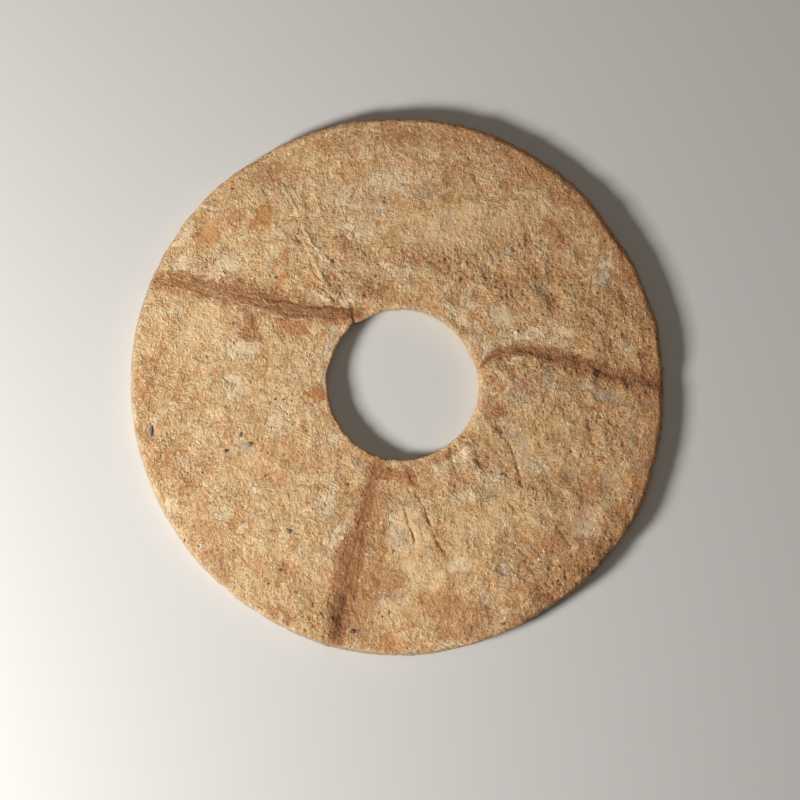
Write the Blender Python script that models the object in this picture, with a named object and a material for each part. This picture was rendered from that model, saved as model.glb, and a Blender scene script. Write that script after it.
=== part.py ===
"""A bi: a flat ring of cast glass with a round bore, its face crossed by three soil-filled creases.

The disc lies face up on its plain, flat underside. The origin is the centre of the underside, and +Z runs
up through the bore. All sizes are in metres.
"""

import math

import bmesh
import bpy
from mathutils import Vector

# The plate
OUTER_DIAMETER = 0.1150
BORE_DIAMETER = 0.0324
THICKNESS = 0.0040
BORE_CENTRE = Vector((0.0011, 0.0004))  # the bore was drilled a little off the middle

# Rounded corners of the section
RIM_SHOULDER = 0.0015
RIM_FOOT = 0.0007
BORE_LIP = 0.0010
BORE_FOOT = 0.0005

# The upper edge of the rim is worn rounder on one side of the disc than on the other
SHOULDER_WEAR = 0.30
WEAR_BEARING = 15.0

# Swells of an edge that isn't a true circle: lobes round the disc, height, and one crest's bearing
RIM_SWELLS = (
    (2, 0.00041, 114.0),
    (3, 0.00012, 66.0),
    (4, 0.00017, 65.0),
    (5, 0.00011, 45.0),
    (6, 0.00010, 30.0),
)
BORE_SWELLS = ((2, 0.00023, 143.0), (3, 0.00013, 106.0), (4, 0.00007, 72.0))

# Flat and chipped places of an edge: bearing, half the spread in degrees, and depth (less than 0 is proud)
RIM_DENTS = (
    (15.0, 120.0, -0.00062),
    (13.0, 9.0, -0.00033),
    (36.0, 10.5, 0.00060),
    (59.0, 7.0, 0.00012),
    (69.0, 10.0, -0.00018),
    (90.0, 9.0, 0.00018),
    (121.0, 6.0, 0.00020),
    (148.0, 10.0, 0.00010),
    (305.0, 9.0, 0.00022),
    (322.0, 4.5, 0.00022),
    (333.0, 10.0, -0.00028),
    (346.0, 7.0, 0.00020),
)
BORE_DENTS = (
    (92.0, 14.0, -0.00010),
    (129.5, 7.0, 0.00055),
    (162.0, 12.0, -0.00015),
    (226.0, 8.0, -0.00015),
    (257.0, 7.0, 0.00035),
    (281.0, 5.0, 0.00020),
)

# The face: three shallow creases from the rim to the bore, each a route of points
LEFT_CREASE = ((-0.060, 0.026), (-0.042, 0.021), (-0.031, 0.0175), (-0.021, 0.016), (-0.0065, 0.0135))
RIGHT_CREASE = ((0.0150, 0.0015), (0.025, 0.0075), (0.035, 0.0062), (0.044, 0.0035), (0.060, -0.0010))
LOWER_CREASE = ((-0.0035, -0.0130), (-0.0070, -0.0255), (-0.0112, -0.0410), (-0.0145, -0.0600))

# Half the width and the depth of each crease's valley
CREASES = (
    (LEFT_CREASE, 0.0034, 0.00020),
    (RIGHT_CREASE, 0.0030, 0.00016),
    (LOWER_CREASE, 0.0036, 0.00016),
)

# Broad waves left in the face by casting and grinding: length, height, and direction in degrees
FACE_WAVES = ((0.094, 0.00016, 25.0), (0.061, 0.00010, 100.0), (0.047, 0.00007, 160.0))

# Fineness
STEPS_ROUND = 144
FACE_RINGS = 13
ARC_STEPS = {"shoulder": 5, "foot": 2, "lip": 3}

WEATHERED_COLOUR = (0.48, 0.29, 0.15, 1.0)
WEATHERED_ROUGHNESS = 0.85


def clear_scene():
    for item in list(bpy.data.objects):
        bpy.data.objects.remove(item, do_unlink=True)


def weathered_glass():
    material = bpy.data.materials.new("weathered_glass")
    material.use_nodes = True
    shader = material.node_tree.nodes["Principled BSDF"]
    shader.inputs["Base Color"].default_value = WEATHERED_COLOUR
    shader.inputs["Roughness"].default_value = WEATHERED_ROUGHNESS
    shader.inputs["Metallic"].default_value = 0.0
    return material


def arc(centre_r, centre_z, radius, start, steps):
    """Points of a quarter circle in the section, turning anticlockwise from the angle start, in degrees."""
    turn = [math.radians(start + 90.0 * step / steps) for step in range(steps + 1)]
    return [(centre_r + radius * math.cos(a), centre_z + radius * math.sin(a)) for a in turn]


def section():
    """The outline of a radial cut through the plate, anticlockwise, as (distance from the axis, height)."""
    outer, inner, top = OUTER_DIAMETER / 2, BORE_DIAMETER / 2, THICKNESS
    points = arc(outer - RIM_FOOT, RIM_FOOT, RIM_FOOT, -90, ARC_STEPS["foot"])
    points += arc(outer - RIM_SHOULDER, top - RIM_SHOULDER, RIM_SHOULDER, 0, ARC_STEPS["shoulder"])
    from_rim, to_lip = outer - RIM_SHOULDER, inner + BORE_LIP
    for ring in range(1, FACE_RINGS):
        points.append((from_rim + (to_lip - from_rim) * ring / FACE_RINGS, top))
    points += arc(inner + BORE_LIP, top - BORE_LIP, BORE_LIP, 90, ARC_STEPS["lip"])
    points += arc(inner + BORE_FOOT, BORE_FOOT, BORE_FOOT, 180, ARC_STEPS["foot"])
    return points


def turned_ring(bm):
    """The section spun once round the Z axis."""
    profile = [bm.verts.new((r, 0.0, z)) for r, z in section()]
    edges = [bm.edges.new(pair) for pair in zip(profile, profile[1:] + profile[:1])]
    bmesh.ops.spin(
        bm,
        geom=profile + edges,
        cent=(0, 0, 0),
        axis=(0, 0, 1),
        angle=2 * math.pi,
        steps=STEPS_ROUND,
        use_merge=True,
    )
    bmesh.ops.remove_doubles(bm, verts=bm.verts, dist=1e-6)


def bump(distance, reach):
    """1 at no distance, falling smoothly to 0 at reach and beyond."""
    share = min(abs(distance) / reach, 1.0)
    return 0.5 + 0.5 * math.cos(math.pi * share)


def swell(bearing, swells):
    """How far the swells push an edge outward at a bearing: the sum of one cosine wave for each."""
    return sum(height * math.cos(lobes * math.radians(bearing - crest)) for lobes, height, crest in swells)


def dents(bearing, places):
    """How deep an edge is dented at a bearing."""
    turned = [(bearing - middle + 180.0) % 360.0 - 180.0 for middle, _, _ in places]
    return sum(depth * bump(off, spread) for off, (_, spread, depth) in zip(turned, places))


def worn_shoulder(radius, height, bearing):
    """Draws the rim's rounded upper edge towards its corner, or away from it, with the wear at a bearing."""
    inward = OUTER_DIAMETER / 2 - radius
    down = THICKNESS - height
    if inward > RIM_SHOULDER * 1.001 or down > RIM_SHOULDER * 1.001:
        return radius, height
    wear = 1.0 + SHOULDER_WEAR * math.cos(math.radians(bearing - WEAR_BEARING))
    return OUTER_DIAMETER / 2 - inward * wear, THICKNESS - down * wear


def plan_place(radius, bearing):
    """Where a point of the true ring lies in plan: the rim's and the bore's outlines, blended between."""
    share = (radius - BORE_DIAMETER / 2) / (OUTER_DIAMETER / 2 - BORE_DIAMETER / 2)
    direction = Vector((math.cos(math.radians(bearing)), math.sin(math.radians(bearing))))
    at_rim = direction * (swell(bearing, RIM_SWELLS) - dents(bearing, RIM_DENTS))
    at_bore = BORE_CENTRE + direction * (swell(bearing, BORE_SWELLS) + dents(bearing, BORE_DENTS))
    return direction * radius + at_bore.lerp(at_rim, share)


def distance_to_route(place, route):
    """The shortest distance from a point to the straight runs between a route's points."""
    best = math.inf
    for start, end in zip(route, route[1:]):
        run = Vector(end) - Vector(start)
        along = (place - Vector(start)).dot(run) / run.length_squared
        nearest = Vector(start) + run * min(max(along, 0.0), 1.0)
        best = min(best, (place - nearest).length)
    return best


def face_relief(place):
    """Height of the face above or below its mean level: broad waves, less the creases."""
    height = 0.0
    for length, rise, heading in FACE_WAVES:
        along = place.dot(Vector((math.cos(math.radians(heading)), math.sin(math.radians(heading)))))
        height += rise * math.sin(2 * math.pi * along / length)
    for route, half_width, depth in CREASES:
        height -= depth * bump(distance_to_route(place, route), half_width)
    return height


def shaped(corner):
    """Where a vertex of the true ring belongs on the worn disc. Relief fades out down the edges."""
    radius, bearing = math.hypot(corner.x, corner.y), math.degrees(math.atan2(corner.y, corner.x))
    radius, height = worn_shoulder(radius, corner.z, bearing)
    place = plan_place(radius, bearing)
    height += face_relief(place) * max(height / THICKNESS, 0.0) ** 2
    return Vector((place.x, place.y, height))


def make_bi_disc():
    bm = bmesh.new()
    turned_ring(bm)
    for vertex in bm.verts:
        vertex.co = shaped(vertex.co.copy())
    bmesh.ops.recalc_face_normals(bm, faces=bm.faces)
    mesh = bpy.data.meshes.new("bi_disc")
    bm.to_mesh(mesh)
    bm.free()
    mesh.shade_smooth()
    mesh.materials.append(weathered_glass())
    disc = bpy.data.objects.new("bi_disc", mesh)
    bpy.context.scene.collection.objects.link(disc)
    return disc


clear_scene()
make_bi_disc()
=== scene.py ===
# %% [markdown]
# # A bi disc of weathered glass
#
# A bi is a flat ring that was laid in a grave. This one was cast in lead glass and ground flat, and two
# thousand years in the soil have turned its skin to a chalky, opaque tan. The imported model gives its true
# outline, bore and thickness. This lesson builds the surface that the eye sees on top of that frame: the
# worn edges, the three creases full of soil, the cuts, pits, stains and grains.

# %% The frame
import math
from itertools import product

import bpy
import numpy as np
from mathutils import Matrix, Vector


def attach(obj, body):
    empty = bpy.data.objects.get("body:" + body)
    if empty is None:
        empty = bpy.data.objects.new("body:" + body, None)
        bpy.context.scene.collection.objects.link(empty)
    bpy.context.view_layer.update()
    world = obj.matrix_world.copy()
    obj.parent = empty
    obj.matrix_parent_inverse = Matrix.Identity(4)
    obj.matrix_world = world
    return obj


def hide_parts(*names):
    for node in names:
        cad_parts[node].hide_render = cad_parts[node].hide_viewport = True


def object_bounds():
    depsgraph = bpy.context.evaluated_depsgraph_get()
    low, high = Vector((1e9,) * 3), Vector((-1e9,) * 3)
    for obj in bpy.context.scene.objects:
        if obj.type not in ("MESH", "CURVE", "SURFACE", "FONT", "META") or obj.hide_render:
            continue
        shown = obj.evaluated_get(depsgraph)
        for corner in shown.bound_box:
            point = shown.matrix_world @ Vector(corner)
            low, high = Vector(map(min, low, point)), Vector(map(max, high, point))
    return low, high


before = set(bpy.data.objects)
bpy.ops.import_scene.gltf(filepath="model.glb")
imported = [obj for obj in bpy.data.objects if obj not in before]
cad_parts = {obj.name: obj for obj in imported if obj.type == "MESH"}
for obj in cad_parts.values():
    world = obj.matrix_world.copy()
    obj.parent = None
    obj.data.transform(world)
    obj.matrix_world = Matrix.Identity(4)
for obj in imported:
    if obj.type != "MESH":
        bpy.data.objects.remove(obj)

cad_low, cad_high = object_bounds()
print("the frame's box in mm:", [round(1000 * side, 2) for side in cad_high - cad_low])

# %% [markdown]
# ## Camera, light and floor
#
# The disc is looked at from straight above, as a flat find is recorded. A long lens keeps the sides of the
# bore from showing. One large lamp low on the left rakes across the face, because only a raking light shows
# relief this shallow, and a weak wide lamp above fills the shadows. The floor is a plain pale sheet.

# %% Camera, light and floor
MM = 0.001
face_level = cad_high.z
rim_reach = (cad_high.x - cad_low.x + cad_high.y - cad_low.y) / 4
middle = ((cad_low.x + cad_high.x) / 2, (cad_low.y + cad_high.y) / 2)


def aim(item, place, target):
    """Puts a lamp or camera at a place and turns its -Z axis to the target."""
    item.location = place
    direction = Vector(target) - Vector(place)
    item.rotation_euler = direction.to_track_quat("-Z", "Y").to_euler()


def new_object(name, data):
    """An object of the given data, put in the scene."""
    item = bpy.data.objects.new(name, data)
    bpy.context.scene.collection.objects.link(item)
    return item


FIELD_WIDTH = 2.98      # width of the view at the face, in reaches of the rim
VIEW_SHIFT = (0.010, -0.048)    # how far from above the middle the camera hangs, in the same measure
LENS = 100.0
SENSOR = 36.0
camera = new_object("camera", bpy.data.cameras.new("camera"))
camera.data.lens = LENS
camera.data.sensor_width = SENSOR
view_from = [at + shift * rim_reach for at, shift in zip(middle, VIEW_SHIFT)]
camera.location = (*view_from, face_level + FIELD_WIDTH * rim_reach * LENS / SENSOR)
bpy.context.scene.camera = camera


def area_lamp(name, bearing, height, distance, size, power, tint=(1.0, 1.0, 1.0)):
    """A square lamp at a bearing and a height in degrees, aimed at the middle of the face."""
    lamp = new_object(name, bpy.data.lights.new(name, "AREA"))
    lamp.data.size = size
    lamp.data.energy = power
    lamp.data.color = tint
    turn, rise = math.radians(bearing), math.radians(height)
    target = (middle[0], middle[1], face_level)
    flat = distance * math.cos(rise)
    place = (flat * math.cos(turn), flat * math.sin(turn), distance * math.sin(rise))
    aim(lamp, [a + b for a, b in zip(target, place)], target)
    return lamp


area_lamp("key_lamp", bearing=204, height=30, distance=0.42, size=0.10, power=2.72)
area_lamp("fill_lamp", bearing=60, height=70, distance=0.8, size=0.8, power=0.95, tint=(1.0, 0.89, 0.76))

world = bpy.data.worlds.new("studio")
bpy.context.scene.world = world
world.use_nodes = True
world.node_tree.nodes["Background"].inputs["Color"].default_value = (1.0, 0.97, 0.93, 1.0)
world.node_tree.nodes["Background"].inputs["Strength"].default_value = 0.07
bpy.context.scene.view_settings.view_transform = "Standard"


def paint(red, green, blue):
    """A colour as it is seen, 0 to 255, turned into the linear values that a shader takes."""
    seen = np.array([red, green, blue]) / 255
    linear = np.where(seen <= 0.04045, seen / 12.92, ((seen + 0.055) / 1.055) ** 2.4)
    return (*[float(v) for v in linear], 1.0)


floor_mesh = bpy.data.meshes.new("floor")
FLOOR_HALF = 3.0
floor_corners = [(x * FLOOR_HALF, y * FLOOR_HALF, 0.0) for x, y in ((-1, -1), (1, -1), (1, 1), (-1, 1))]
floor_mesh.from_pydata(floor_corners, [], [(0, 1, 2, 3)])
floor_material = bpy.data.materials.new("pale_floor")
floor_material.use_nodes = True
floor_shader = floor_material.node_tree.nodes["Principled BSDF"]
floor_shader.inputs["Base Color"].default_value = paint(202, 200, 196)
floor_shader.inputs["Roughness"].default_value = 0.9
floor_mesh.materials.append(floor_material)
floor = new_object("floor", floor_mesh)
print("camera height in mm:", round(1000 * camera.location.z, 1))

# %% [markdown]
# ## Reading the edges of the disc from the frame
#
# Neither edge is a true circle, and the bore is off the middle. The frame's own vertices say where both edges
# lie: the vertical stretch of each wall is read as a radius against a bearing, then smoothed, so that the fine
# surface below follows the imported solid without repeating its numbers. From here on, lengths are millimetres
# until a mesh is made.

# %% Reading the edges of the disc from the frame
COLUMNS = 768            # steps round the outer part of the disc; the inner part and the underside have half

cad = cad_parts["bi_disc"]
corners = np.empty(3 * len(cad.data.vertices), np.float32)
cad.data.vertices.foreach_get("co", corners)
corners = np.unique(np.round(corners.reshape(-1, 3) / MM, 4), axis=0)
bearings = np.arange(COLUMNS) * 2 * math.pi / COLUMNS


def edge_radius(points, centre, finest=48):
    """Radius of an edge at each bearing: the points' radii about the centre, joined by straight runs, then
    kept only up to the given number of waves round the disc."""
    offset = points[:, :2] - centre
    turn = np.arctan2(offset[:, 1], offset[:, 0]) % (2 * math.pi)
    order = np.argsort(turn)
    joined = np.interp(bearings, turn[order], np.hypot(*offset[order].T), period=2 * math.pi)
    waves = np.fft.rfft(joined)
    waves[finest:] = 0
    return np.fft.irfft(waves, COLUMNS)


around = np.hypot(corners[:, 0], corners[:, 1])
on_face = (corners[:, 2] > 0.8 * face_level / MM) & (around > 0.4 * around.max()) & (around < 0.9 * around.max())
thickness = float(np.median(corners[on_face, 2]))
low_wall = (corners[:, 2] > 0.1 * thickness) & (corners[:, 2] < 0.2 * thickness)
bore_wall = corners[low_wall & (around < 0.5 * around.max())]
rim_wall = corners[low_wall & (around > 0.5 * around.max())]
bore_centre = bore_wall[:, :2].mean(axis=0)
bore_edge = edge_radius(bore_wall, bore_centre)
rim_edge = edge_radius(rim_wall, np.zeros(2))
inner, outer = bore_edge.mean(), rim_edge.mean()
print("bore", round(2 * inner, 2), "rim", round(2 * outer, 2), "thickness", round(thickness, 2))
print("centre of the bore:", bore_centre.round(2))

# %% [markdown]
# ## Chance that repeats
#
# Weathering looks random, yet the lesson must give the same disc each time. So nothing is drawn from a random
# generator: a number is worked out from the cell of space that a point lies in. Two tools follow from it.
# `noise` blends random slopes at the corners of each cell into smooth hills, and `hollows` strews balls in
# space and says how deep inside one a point lies, which gives pits and chips of every size.

# %% Chance that repeats
HASH_FACTORS = np.array([73856093, 19349663, 83492791])
NEIGHBOURS = [np.array(step) for step in product((-1, 0, 1), repeat=3)]


def hashed(cells, seed):
    """A number from 0 to 1 for each cell: its whole coordinates times large factors, added, bits mixed."""
    mixed = ((cells * HASH_FACTORS).sum(axis=-1) + seed * 40503001) & 0xFFFFFFFF
    mixed = ((mixed ^ (mixed >> 15)) * 1274126177) & 0xFFFFFFFF
    mixed = ((mixed ^ (mixed >> 13)) * 1103515245) & 0xFFFFFFFF
    return ((mixed ^ (mixed >> 16)) & 0xFFFFFF) / 0xFFFFFF


def noise(points, cell, seed):
    """Smooth hills from about -1 to 1. Each corner of a point's cell has its own slope; the heights that the
    slopes reach at the point are blended with a curve that is flat at both ends."""
    where = points / cell
    base = np.floor(where).astype(np.int64)
    part = where - base
    blend = part**3 * (part * (part * 6 - 15) + 10)
    total = np.zeros(len(points))
    for step in product((0, 1), repeat=3):
        corner = base + step
        slopes = np.stack([hashed(corner, 3 * seed + axis) for axis in range(3)], axis=-1) * 2 - 1
        weight = np.where(step, blend, 1 - blend).prod(axis=-1)
        total += weight * (slopes * (part - step)).sum(axis=-1)
    return 2 * total


def cloudy(points, coarsest, octaves, seed, keep=0.5):
    """Layers of noise added up, each half the size of the last and keep times as high."""
    return sum(keep**k * noise(points, coarsest / 2**k, seed + k) for k in range(octaves))


def hollows(points, cell, chance, seed):
    """How deep each point lies in a ball, 0 to 1: one less the square of distance over radius, raised to three
    quarters for a steeper rim. Each cell of space may hold one ball, at its own place and of its own size, if its
    number is under the chance."""
    where = points / cell
    base = np.floor(where).astype(np.int64)
    deepest = np.zeros(len(points))
    for step in NEIGHBOURS:
        cube = base + step
        centre = cube + 0.2 + 0.6 * np.stack([hashed(cube, seed + axis) for axis in range(3)], axis=-1)
        radius = 0.22 + 0.34 * hashed(cube, seed + 3)
        depth = 1 - ((where - centre) ** 2).sum(axis=-1) / radius**2
        deepest = np.maximum(deepest, np.where(hashed(cube, seed + 4) < chance, depth, 0))
    return deepest**0.75


def slanted(points, heading, stretch):
    """Points turned so that the heading lies along x, and drawn in along it, which makes anything looked up at
    them stretch times as long that way."""
    turn = math.radians(heading)
    along = (points[:, 0] * math.cos(turn) + points[:, 1] * math.sin(turn)) / stretch
    across = points[:, 1] * math.cos(turn) - points[:, 0] * math.sin(turn)
    return np.stack([along, across, points[:, 2]], axis=-1)


def warped(points, amount, cell, seed):
    """Points moved about in plan by noise, by up to the amount."""
    shift = np.stack([noise(points, cell, seed), noise(points, cell, seed + 1), np.zeros(len(points))], axis=-1)
    return points + amount * shift


def eased(value, low, high):
    """0 below low, 1 above high, and a smooth S between."""
    share = np.clip((value - low) / (high - low), 0, 1)
    return share * share * (3 - 2 * share)


print("a few numbers of chance:", hashed(np.arange(9).reshape(3, 3), 1).round(3))

# %% [markdown]
# ## Places on the face
#
# A place is given as a maker would point to it on a round plate: a bearing in degrees, anticlockwise from the
# right, and a reach, the share of the way from the centre to the rim. A stain is a leaning ellipse round such a
# place. A crack is a route through several of them, with its corners cut twice to make it flow.

# %% Places on the face
def ground(places):
    """Bearings and reaches as x and y in mm, one row each."""
    bearing, reach = np.array(places, float).T
    turn = np.radians(bearing)
    return np.stack([reach * outer * np.cos(turn), reach * outer * np.sin(turn)], axis=-1)


def flowing(route):
    """The route with each corner cut off a quarter of the way along its runs, done twice."""
    points = ground(route)
    for _ in range(2):
        early = points[:-1] * 0.75 + points[1:] * 0.25
        late = points[:-1] * 0.25 + points[1:] * 0.75
        between = np.stack([early, late], axis=1).reshape(-1, 2)
        points = np.concatenate([points[:1], between[1:-1], points[-1:]])
    return points


def beside(x, y, route):
    """Where points lie beside a route: the share of its length travelled, and mm to its left (less than 0 is
    right), both measured from the nearest of its straight runs."""
    nodes = flowing(route)
    steps = np.diff(nodes, axis=0)
    lengths = np.hypot(*steps.T)
    travelled = np.concatenate([[0], np.cumsum(lengths)])
    nearest, along, left = np.full(x.shape, np.inf), np.zeros(x.shape), np.zeros(x.shape)
    for node, (dx, dy), length, start in zip(nodes, steps / lengths[:, None], lengths, travelled):
        px, py = x - node[0], y - node[1]
        ahead = np.clip(px * dx + py * dy, 0, length)
        gap = np.hypot(px - ahead * dx, py - ahead * dy)
        closer = gap < nearest
        nearest = np.where(closer, gap, nearest)
        along = np.where(closer, start + ahead, along)
        left = np.where(closer, np.copysign(gap, dx * py - dy * px), left)
    return along / travelled[-1], left


def blots(x, y, places):
    """How deep points lie in the strongest of several stains: strength times 1.5 less the distance, where the
    distance is 0 at an ellipse's middle and 1 at its edge. Each place is a bearing, a reach, a length, a width,
    the heading of its length, and a strength."""
    centres = ground([place[:2] for place in places])
    strongest = np.zeros(x.shape)
    for (cx, cy), (_, _, length, width, heading, strength) in zip(centres, places):
        turn = math.radians(heading)
        along = (x - cx) * math.cos(turn) + (y - cy) * math.sin(turn)
        across = (y - cy) * math.cos(turn) - (x - cx) * math.sin(turn)
        distance = np.hypot(2 * along / length, 2 * across / width)
        strongest = np.maximum(strongest, strength * np.clip(1.5 - distance, 0, 1))
    return strongest


print("the rim at 90 degrees:", ground([(90, 1.0)]).round(2))

# %% [markdown]
# ## The stains
#
# The skin took up whatever lay against it. Iron in the soil left brown and ochre stains, lime left pale
# patches, and where the skin is thin the grey-lilac glass shows through. Each list is one kind of stain. They
# are only masks here: the material later breaks up their edges and gives them colour. Two more lists say where
# the skin has crumbled rough and where it is still smooth. Every place in them is a bearing, a reach, a length
# and a width in mm, the heading of the length, and a strength.

# %% Iron: rust, brown and ochre
RUST = (
    # beside the left crease
    (149, 0.755, 2.8, 2, 80, 1), (147.5, 0.7, 3, 1.8, -20, 0.9), (145.8, 0.645, 2.2, 1.4, -30, 0.9),
    (156, 0.6, 5.5, 3.4, -60, 1), (160, 0.585, 4, 3.2, -20, 1), (154, 0.64, 3, 1.8, -20, 0.9),
    (150.5, 0.46, 6, 2.8, -20, 1), (149, 0.41, 3.2, 2.4, -20, 0.9), (155, 0.465, 1.8, 1.3, 0, 0.8),
    (123, 0.735, 2.6, 1, 0, 0.9), (124, 0.655, 0.9, 2.6, 28, 1),
    # round the right crease
    (12.5, 0.595, 4, 1.2, -10, 1), (10, 0.66, 3, 1.2, -12, 0.8), (6, 0.77, 3.4, 1.8, -25, 1),
    (359, 0.9, 5.5, 1.2, -15, 0.6), (1, 0.965, 5, 2.4, 85, 0.7), (7, 0.43, 6, 2.6, -8, 0.6),
    (352, 0.76, 3, 1.2, -20, 0.6),
    # in the lower crease, and round the bore
    (255, 0.56, 3, 2.2, -70, 0.7), (257.5, 0.58, 3, 2, 80, 0.8), (255.5, 0.7, 3.4, 1.4, 75, 0.9),
    (259, 0.66, 4, 1.4, 75, 0.8), (271, 0.325, 8, 2.2, -5, 1), (278, 0.36, 4, 1.6, -65, 0.9),
    (346, 0.38, 4.5, 3.2, 50, 0.7), (262, 0.34, 4, 2, -20, 0.7), (186, 0.285, 2.4, 1.2, 80, 0.8),
)
BROWN_AND_PAINTED_SHADE = (
    # the upper part of the face
    (101, 0.95, 8, 5, 10, 0.6), (88, 0.96, 13, 5, 0, 0.7), (80, 0.95, 12, 5, -10, 0.7),
    (70, 0.95, 8, 4, -20, 0.6), (103, 0.73, 2.6, 2, 90, 0.5), (134, 0.88, 4.5, 3.2, -40, 0.5),
    (122, 0.92, 6, 4, 30, 0.5), (117, 0.44, 5.5, 5, 0, 0.45), (110, 0.55, 8, 4, -30, 0.4),
    # the rough band from above the bore to the right
    (77, 0.49, 6, 3.4, 0, 0.4), (66, 0.5, 6, 3.6, -20, 0.5), (105, 0.35, 6, 4, 0, 0.6),
    (41, 0.53, 8, 5, -30, 0.4), (40, 0.6, 6, 4, -20, 0.5), (16, 0.82, 6, 4.6, -50, 0.6),
    (21, 0.9, 5, 4, -60, 0.6), (55, 0.65, 4.3, 4.3, 0, 0.5), (34, 0.94, 5, 2.6, -50, 0.6),
    (50, 0.97, 12, 3, -40, 0.7), (62, 0.94, 7, 4, -25, 0.5),
    # round the right crease
    (10, 0.41, 5, 2.8, -5, 0.9), (5, 0.68, 5, 2.4, -8, 0.8), (3.5, 0.79, 11, 3, -16, 0.9),
    # the places at bearings 259 to 268 lie right of the lower crease, where the browner zone is partly painted
    # shade
    (2, 0.93, 6, 5, -10, 0.9), (359, 0.37, 3, 6, 0, 0.8), (0, 0.47, 6, 6, 0, 0.5), (268, 0.72, 7, 6, 0, 1),
    (263, 0.86, 6, 4, 60, 0.8), (264, 0.74, 8, 4, 84, 0.8), (284, 0.84, 10, 6, 0, 1), (315, 0.82, 7, 5, 30, 1),
    (316, 0.92, 8, 4, 46, 0.7), (332, 0.81, 5, 7, 0, 0.8), (284, 0.93, 12, 4, 15, 1), (259, 0.86, 8, 4, 78, 1),
    (262.5, 0.6, 9, 4, 84, 0.7), (197, 0.95, 3, 8, 15, 0.4), (225, 0.95, 3, 10, 45, 0.6),
    (290, 0.9, 8, 5, 10, 0.8), (357, 0.97, 7, 3, 85, 1), (2, 0.36, 5, 3, 0, 0.5), (0, 0.48, 5, 4, 0, 0.5),
    (354.5, 0.7, 4.5, 2, -20, 0.7), (12, 0.95, 8, 3.5, 80, 0.6),
    # a browner band along the rim
    (75, 0.83, 9, 4, -15, 0.6), (45, 0.83, 8, 5, -40, 0.85), (90, 0.93, 12, 5, 0, 0.85),
    (120, 0.93, 10, 5, 30, 0.75), (60, 0.93, 9, 4, -30, 0.8), (105, 0.93, 9, 4, 15, 0.75),
    (180, 0.93, 5, 12, 0, 0.7), (197, 0.93, 4, 9, 15, 0.6), (225, 0.93, 4, 12, 45, 0.75),
    (315, 0.83, 12, 6, 45, 1), (330, 0.83, 10, 5, 60, 0.8), (0, 0.94, 12, 6, 85, 1.3),
    (105, 0.36, 7, 5, 15, 0.9), (255, 0.83, 6, 3.6, 78, 1), (256, 0.93, 6, 4, 76, 1.1),
    # round the lower crease; the zone to its right is partly painted shade of a slope that falls away from the
    # lamp
    (254, 0.47, 4, 2.6, 75, 0.7), (254, 0.62, 8, 5.4, 80, 0.9), (254.5, 0.76, 8, 5.6, 78, 0.9),
    (255, 0.89, 6, 3.6, 76, 0.7), (260.5, 0.44, 5, 4.6, 80, 1), (261, 0.56, 7, 5.4, 82, 1),
    (261.5, 0.68, 8, 5.6, 84, 1), (260.5, 0.81, 7, 6, 80, 1), (260.5, 0.92, 6, 6, 60, 1),
    # left and below
    (197, 0.91, 7.7, 5.8, 70, 0.6), (193, 0.65, 4.3, 3, 0, 0.6), (222, 0.93, 5.1, 4.3, -40, 0.5),
    (243, 0.95, 9, 3.5, -25, 0.5), (200, 0.75, 6, 5, 40, 0.6), (185, 0.31, 3.2, 2.6, 40, 0.7),
    (205, 0.86, 6, 5, 60, 0.5), (186, 0.8, 5, 4, 60, 0.4), (230, 0.86, 5, 3, -30, 0.4),
    (130.5, 0.8, 3, 2.4, 60, 0.7),
    # right and below
    (346, 0.38, 5.5, 4.3, 50, 0.6), (271, 0.33, 8.5, 3.6, 0, 0.9), (280, 0.37, 3.2, 2.6, -60, 0.8),
    (304, 0.31, 6, 1.8, 32, 1), (298, 0.92, 3, 2.1, 20, 0.7), (318, 0.97, 13, 6, 48, 1),
    (308, 0.98, 8, 4, 36, 0.9), (326, 0.98, 7, 4.5, 58, 0.9), (336, 0.98, 8, 3, 66, 0.7),
    (348, 0.97, 9, 2.6, 80, 0.7), (318, 0.86, 7, 4, 50, 0.5), (312, 0.9, 5, 3, 40, 0.5),
    (290, 0.88, 1.8, 1.5, 0, 0.9), (289, 0.91, 1.8, 1.5, 0, 0.9), (300, 0.97, 6, 3, 28, 0.6),
)
OCHRE = (
    (139, 0.57, 6, 2.4, 75, 1), (137, 0.5, 3, 1.6, -30, 0.9), (130, 0.645, 2.6, 1.5, 90, 1),
    (135.6, 0.645, 2.4, 1.3, 90, 0.8), (128.5, 0.8, 4.4, 5.4, 30, 1), (126, 0.815, 4.8, 4, 0, 0.8),
    (265, 0.62, 9, 0.9, 88, 1), (264.5, 0.72, 3, 0.9, -60, 0.9), (266, 0.46, 5, 0.9, 60, 0.7),
    (140.5, 0.9, 8, 4.6, 45, 0.9), (95, 0.61, 2.1, 1.9, 0, 0.6), (122, 0.99, 3, 1.5, 30, 0.7),
    (188, 0.27, 2.1, 2.1, 0, 0.6), (185, 0.31, 2.1, 2.1, 0, 0.8), (339, 0.96, 6.4, 4.3, 70, 0.6),
    (342, 0.63, 6.4, 4.3, 0, 0.4), (279, 0.8, 8.6, 4.3, 20, 0.5), (15, 0.57, 5, 1.4, -25, 0.9),
    (268, 0.97, 12, 4, 0, 0.5), (30, 0.97, 3, 1.5, -60, 0.7), (8, 0.55, 4, 2, -20, 0.5),
)
print("iron stains:", len(RUST), len(BROWN_AND_PAINTED_SHADE), len(OCHRE))

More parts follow.
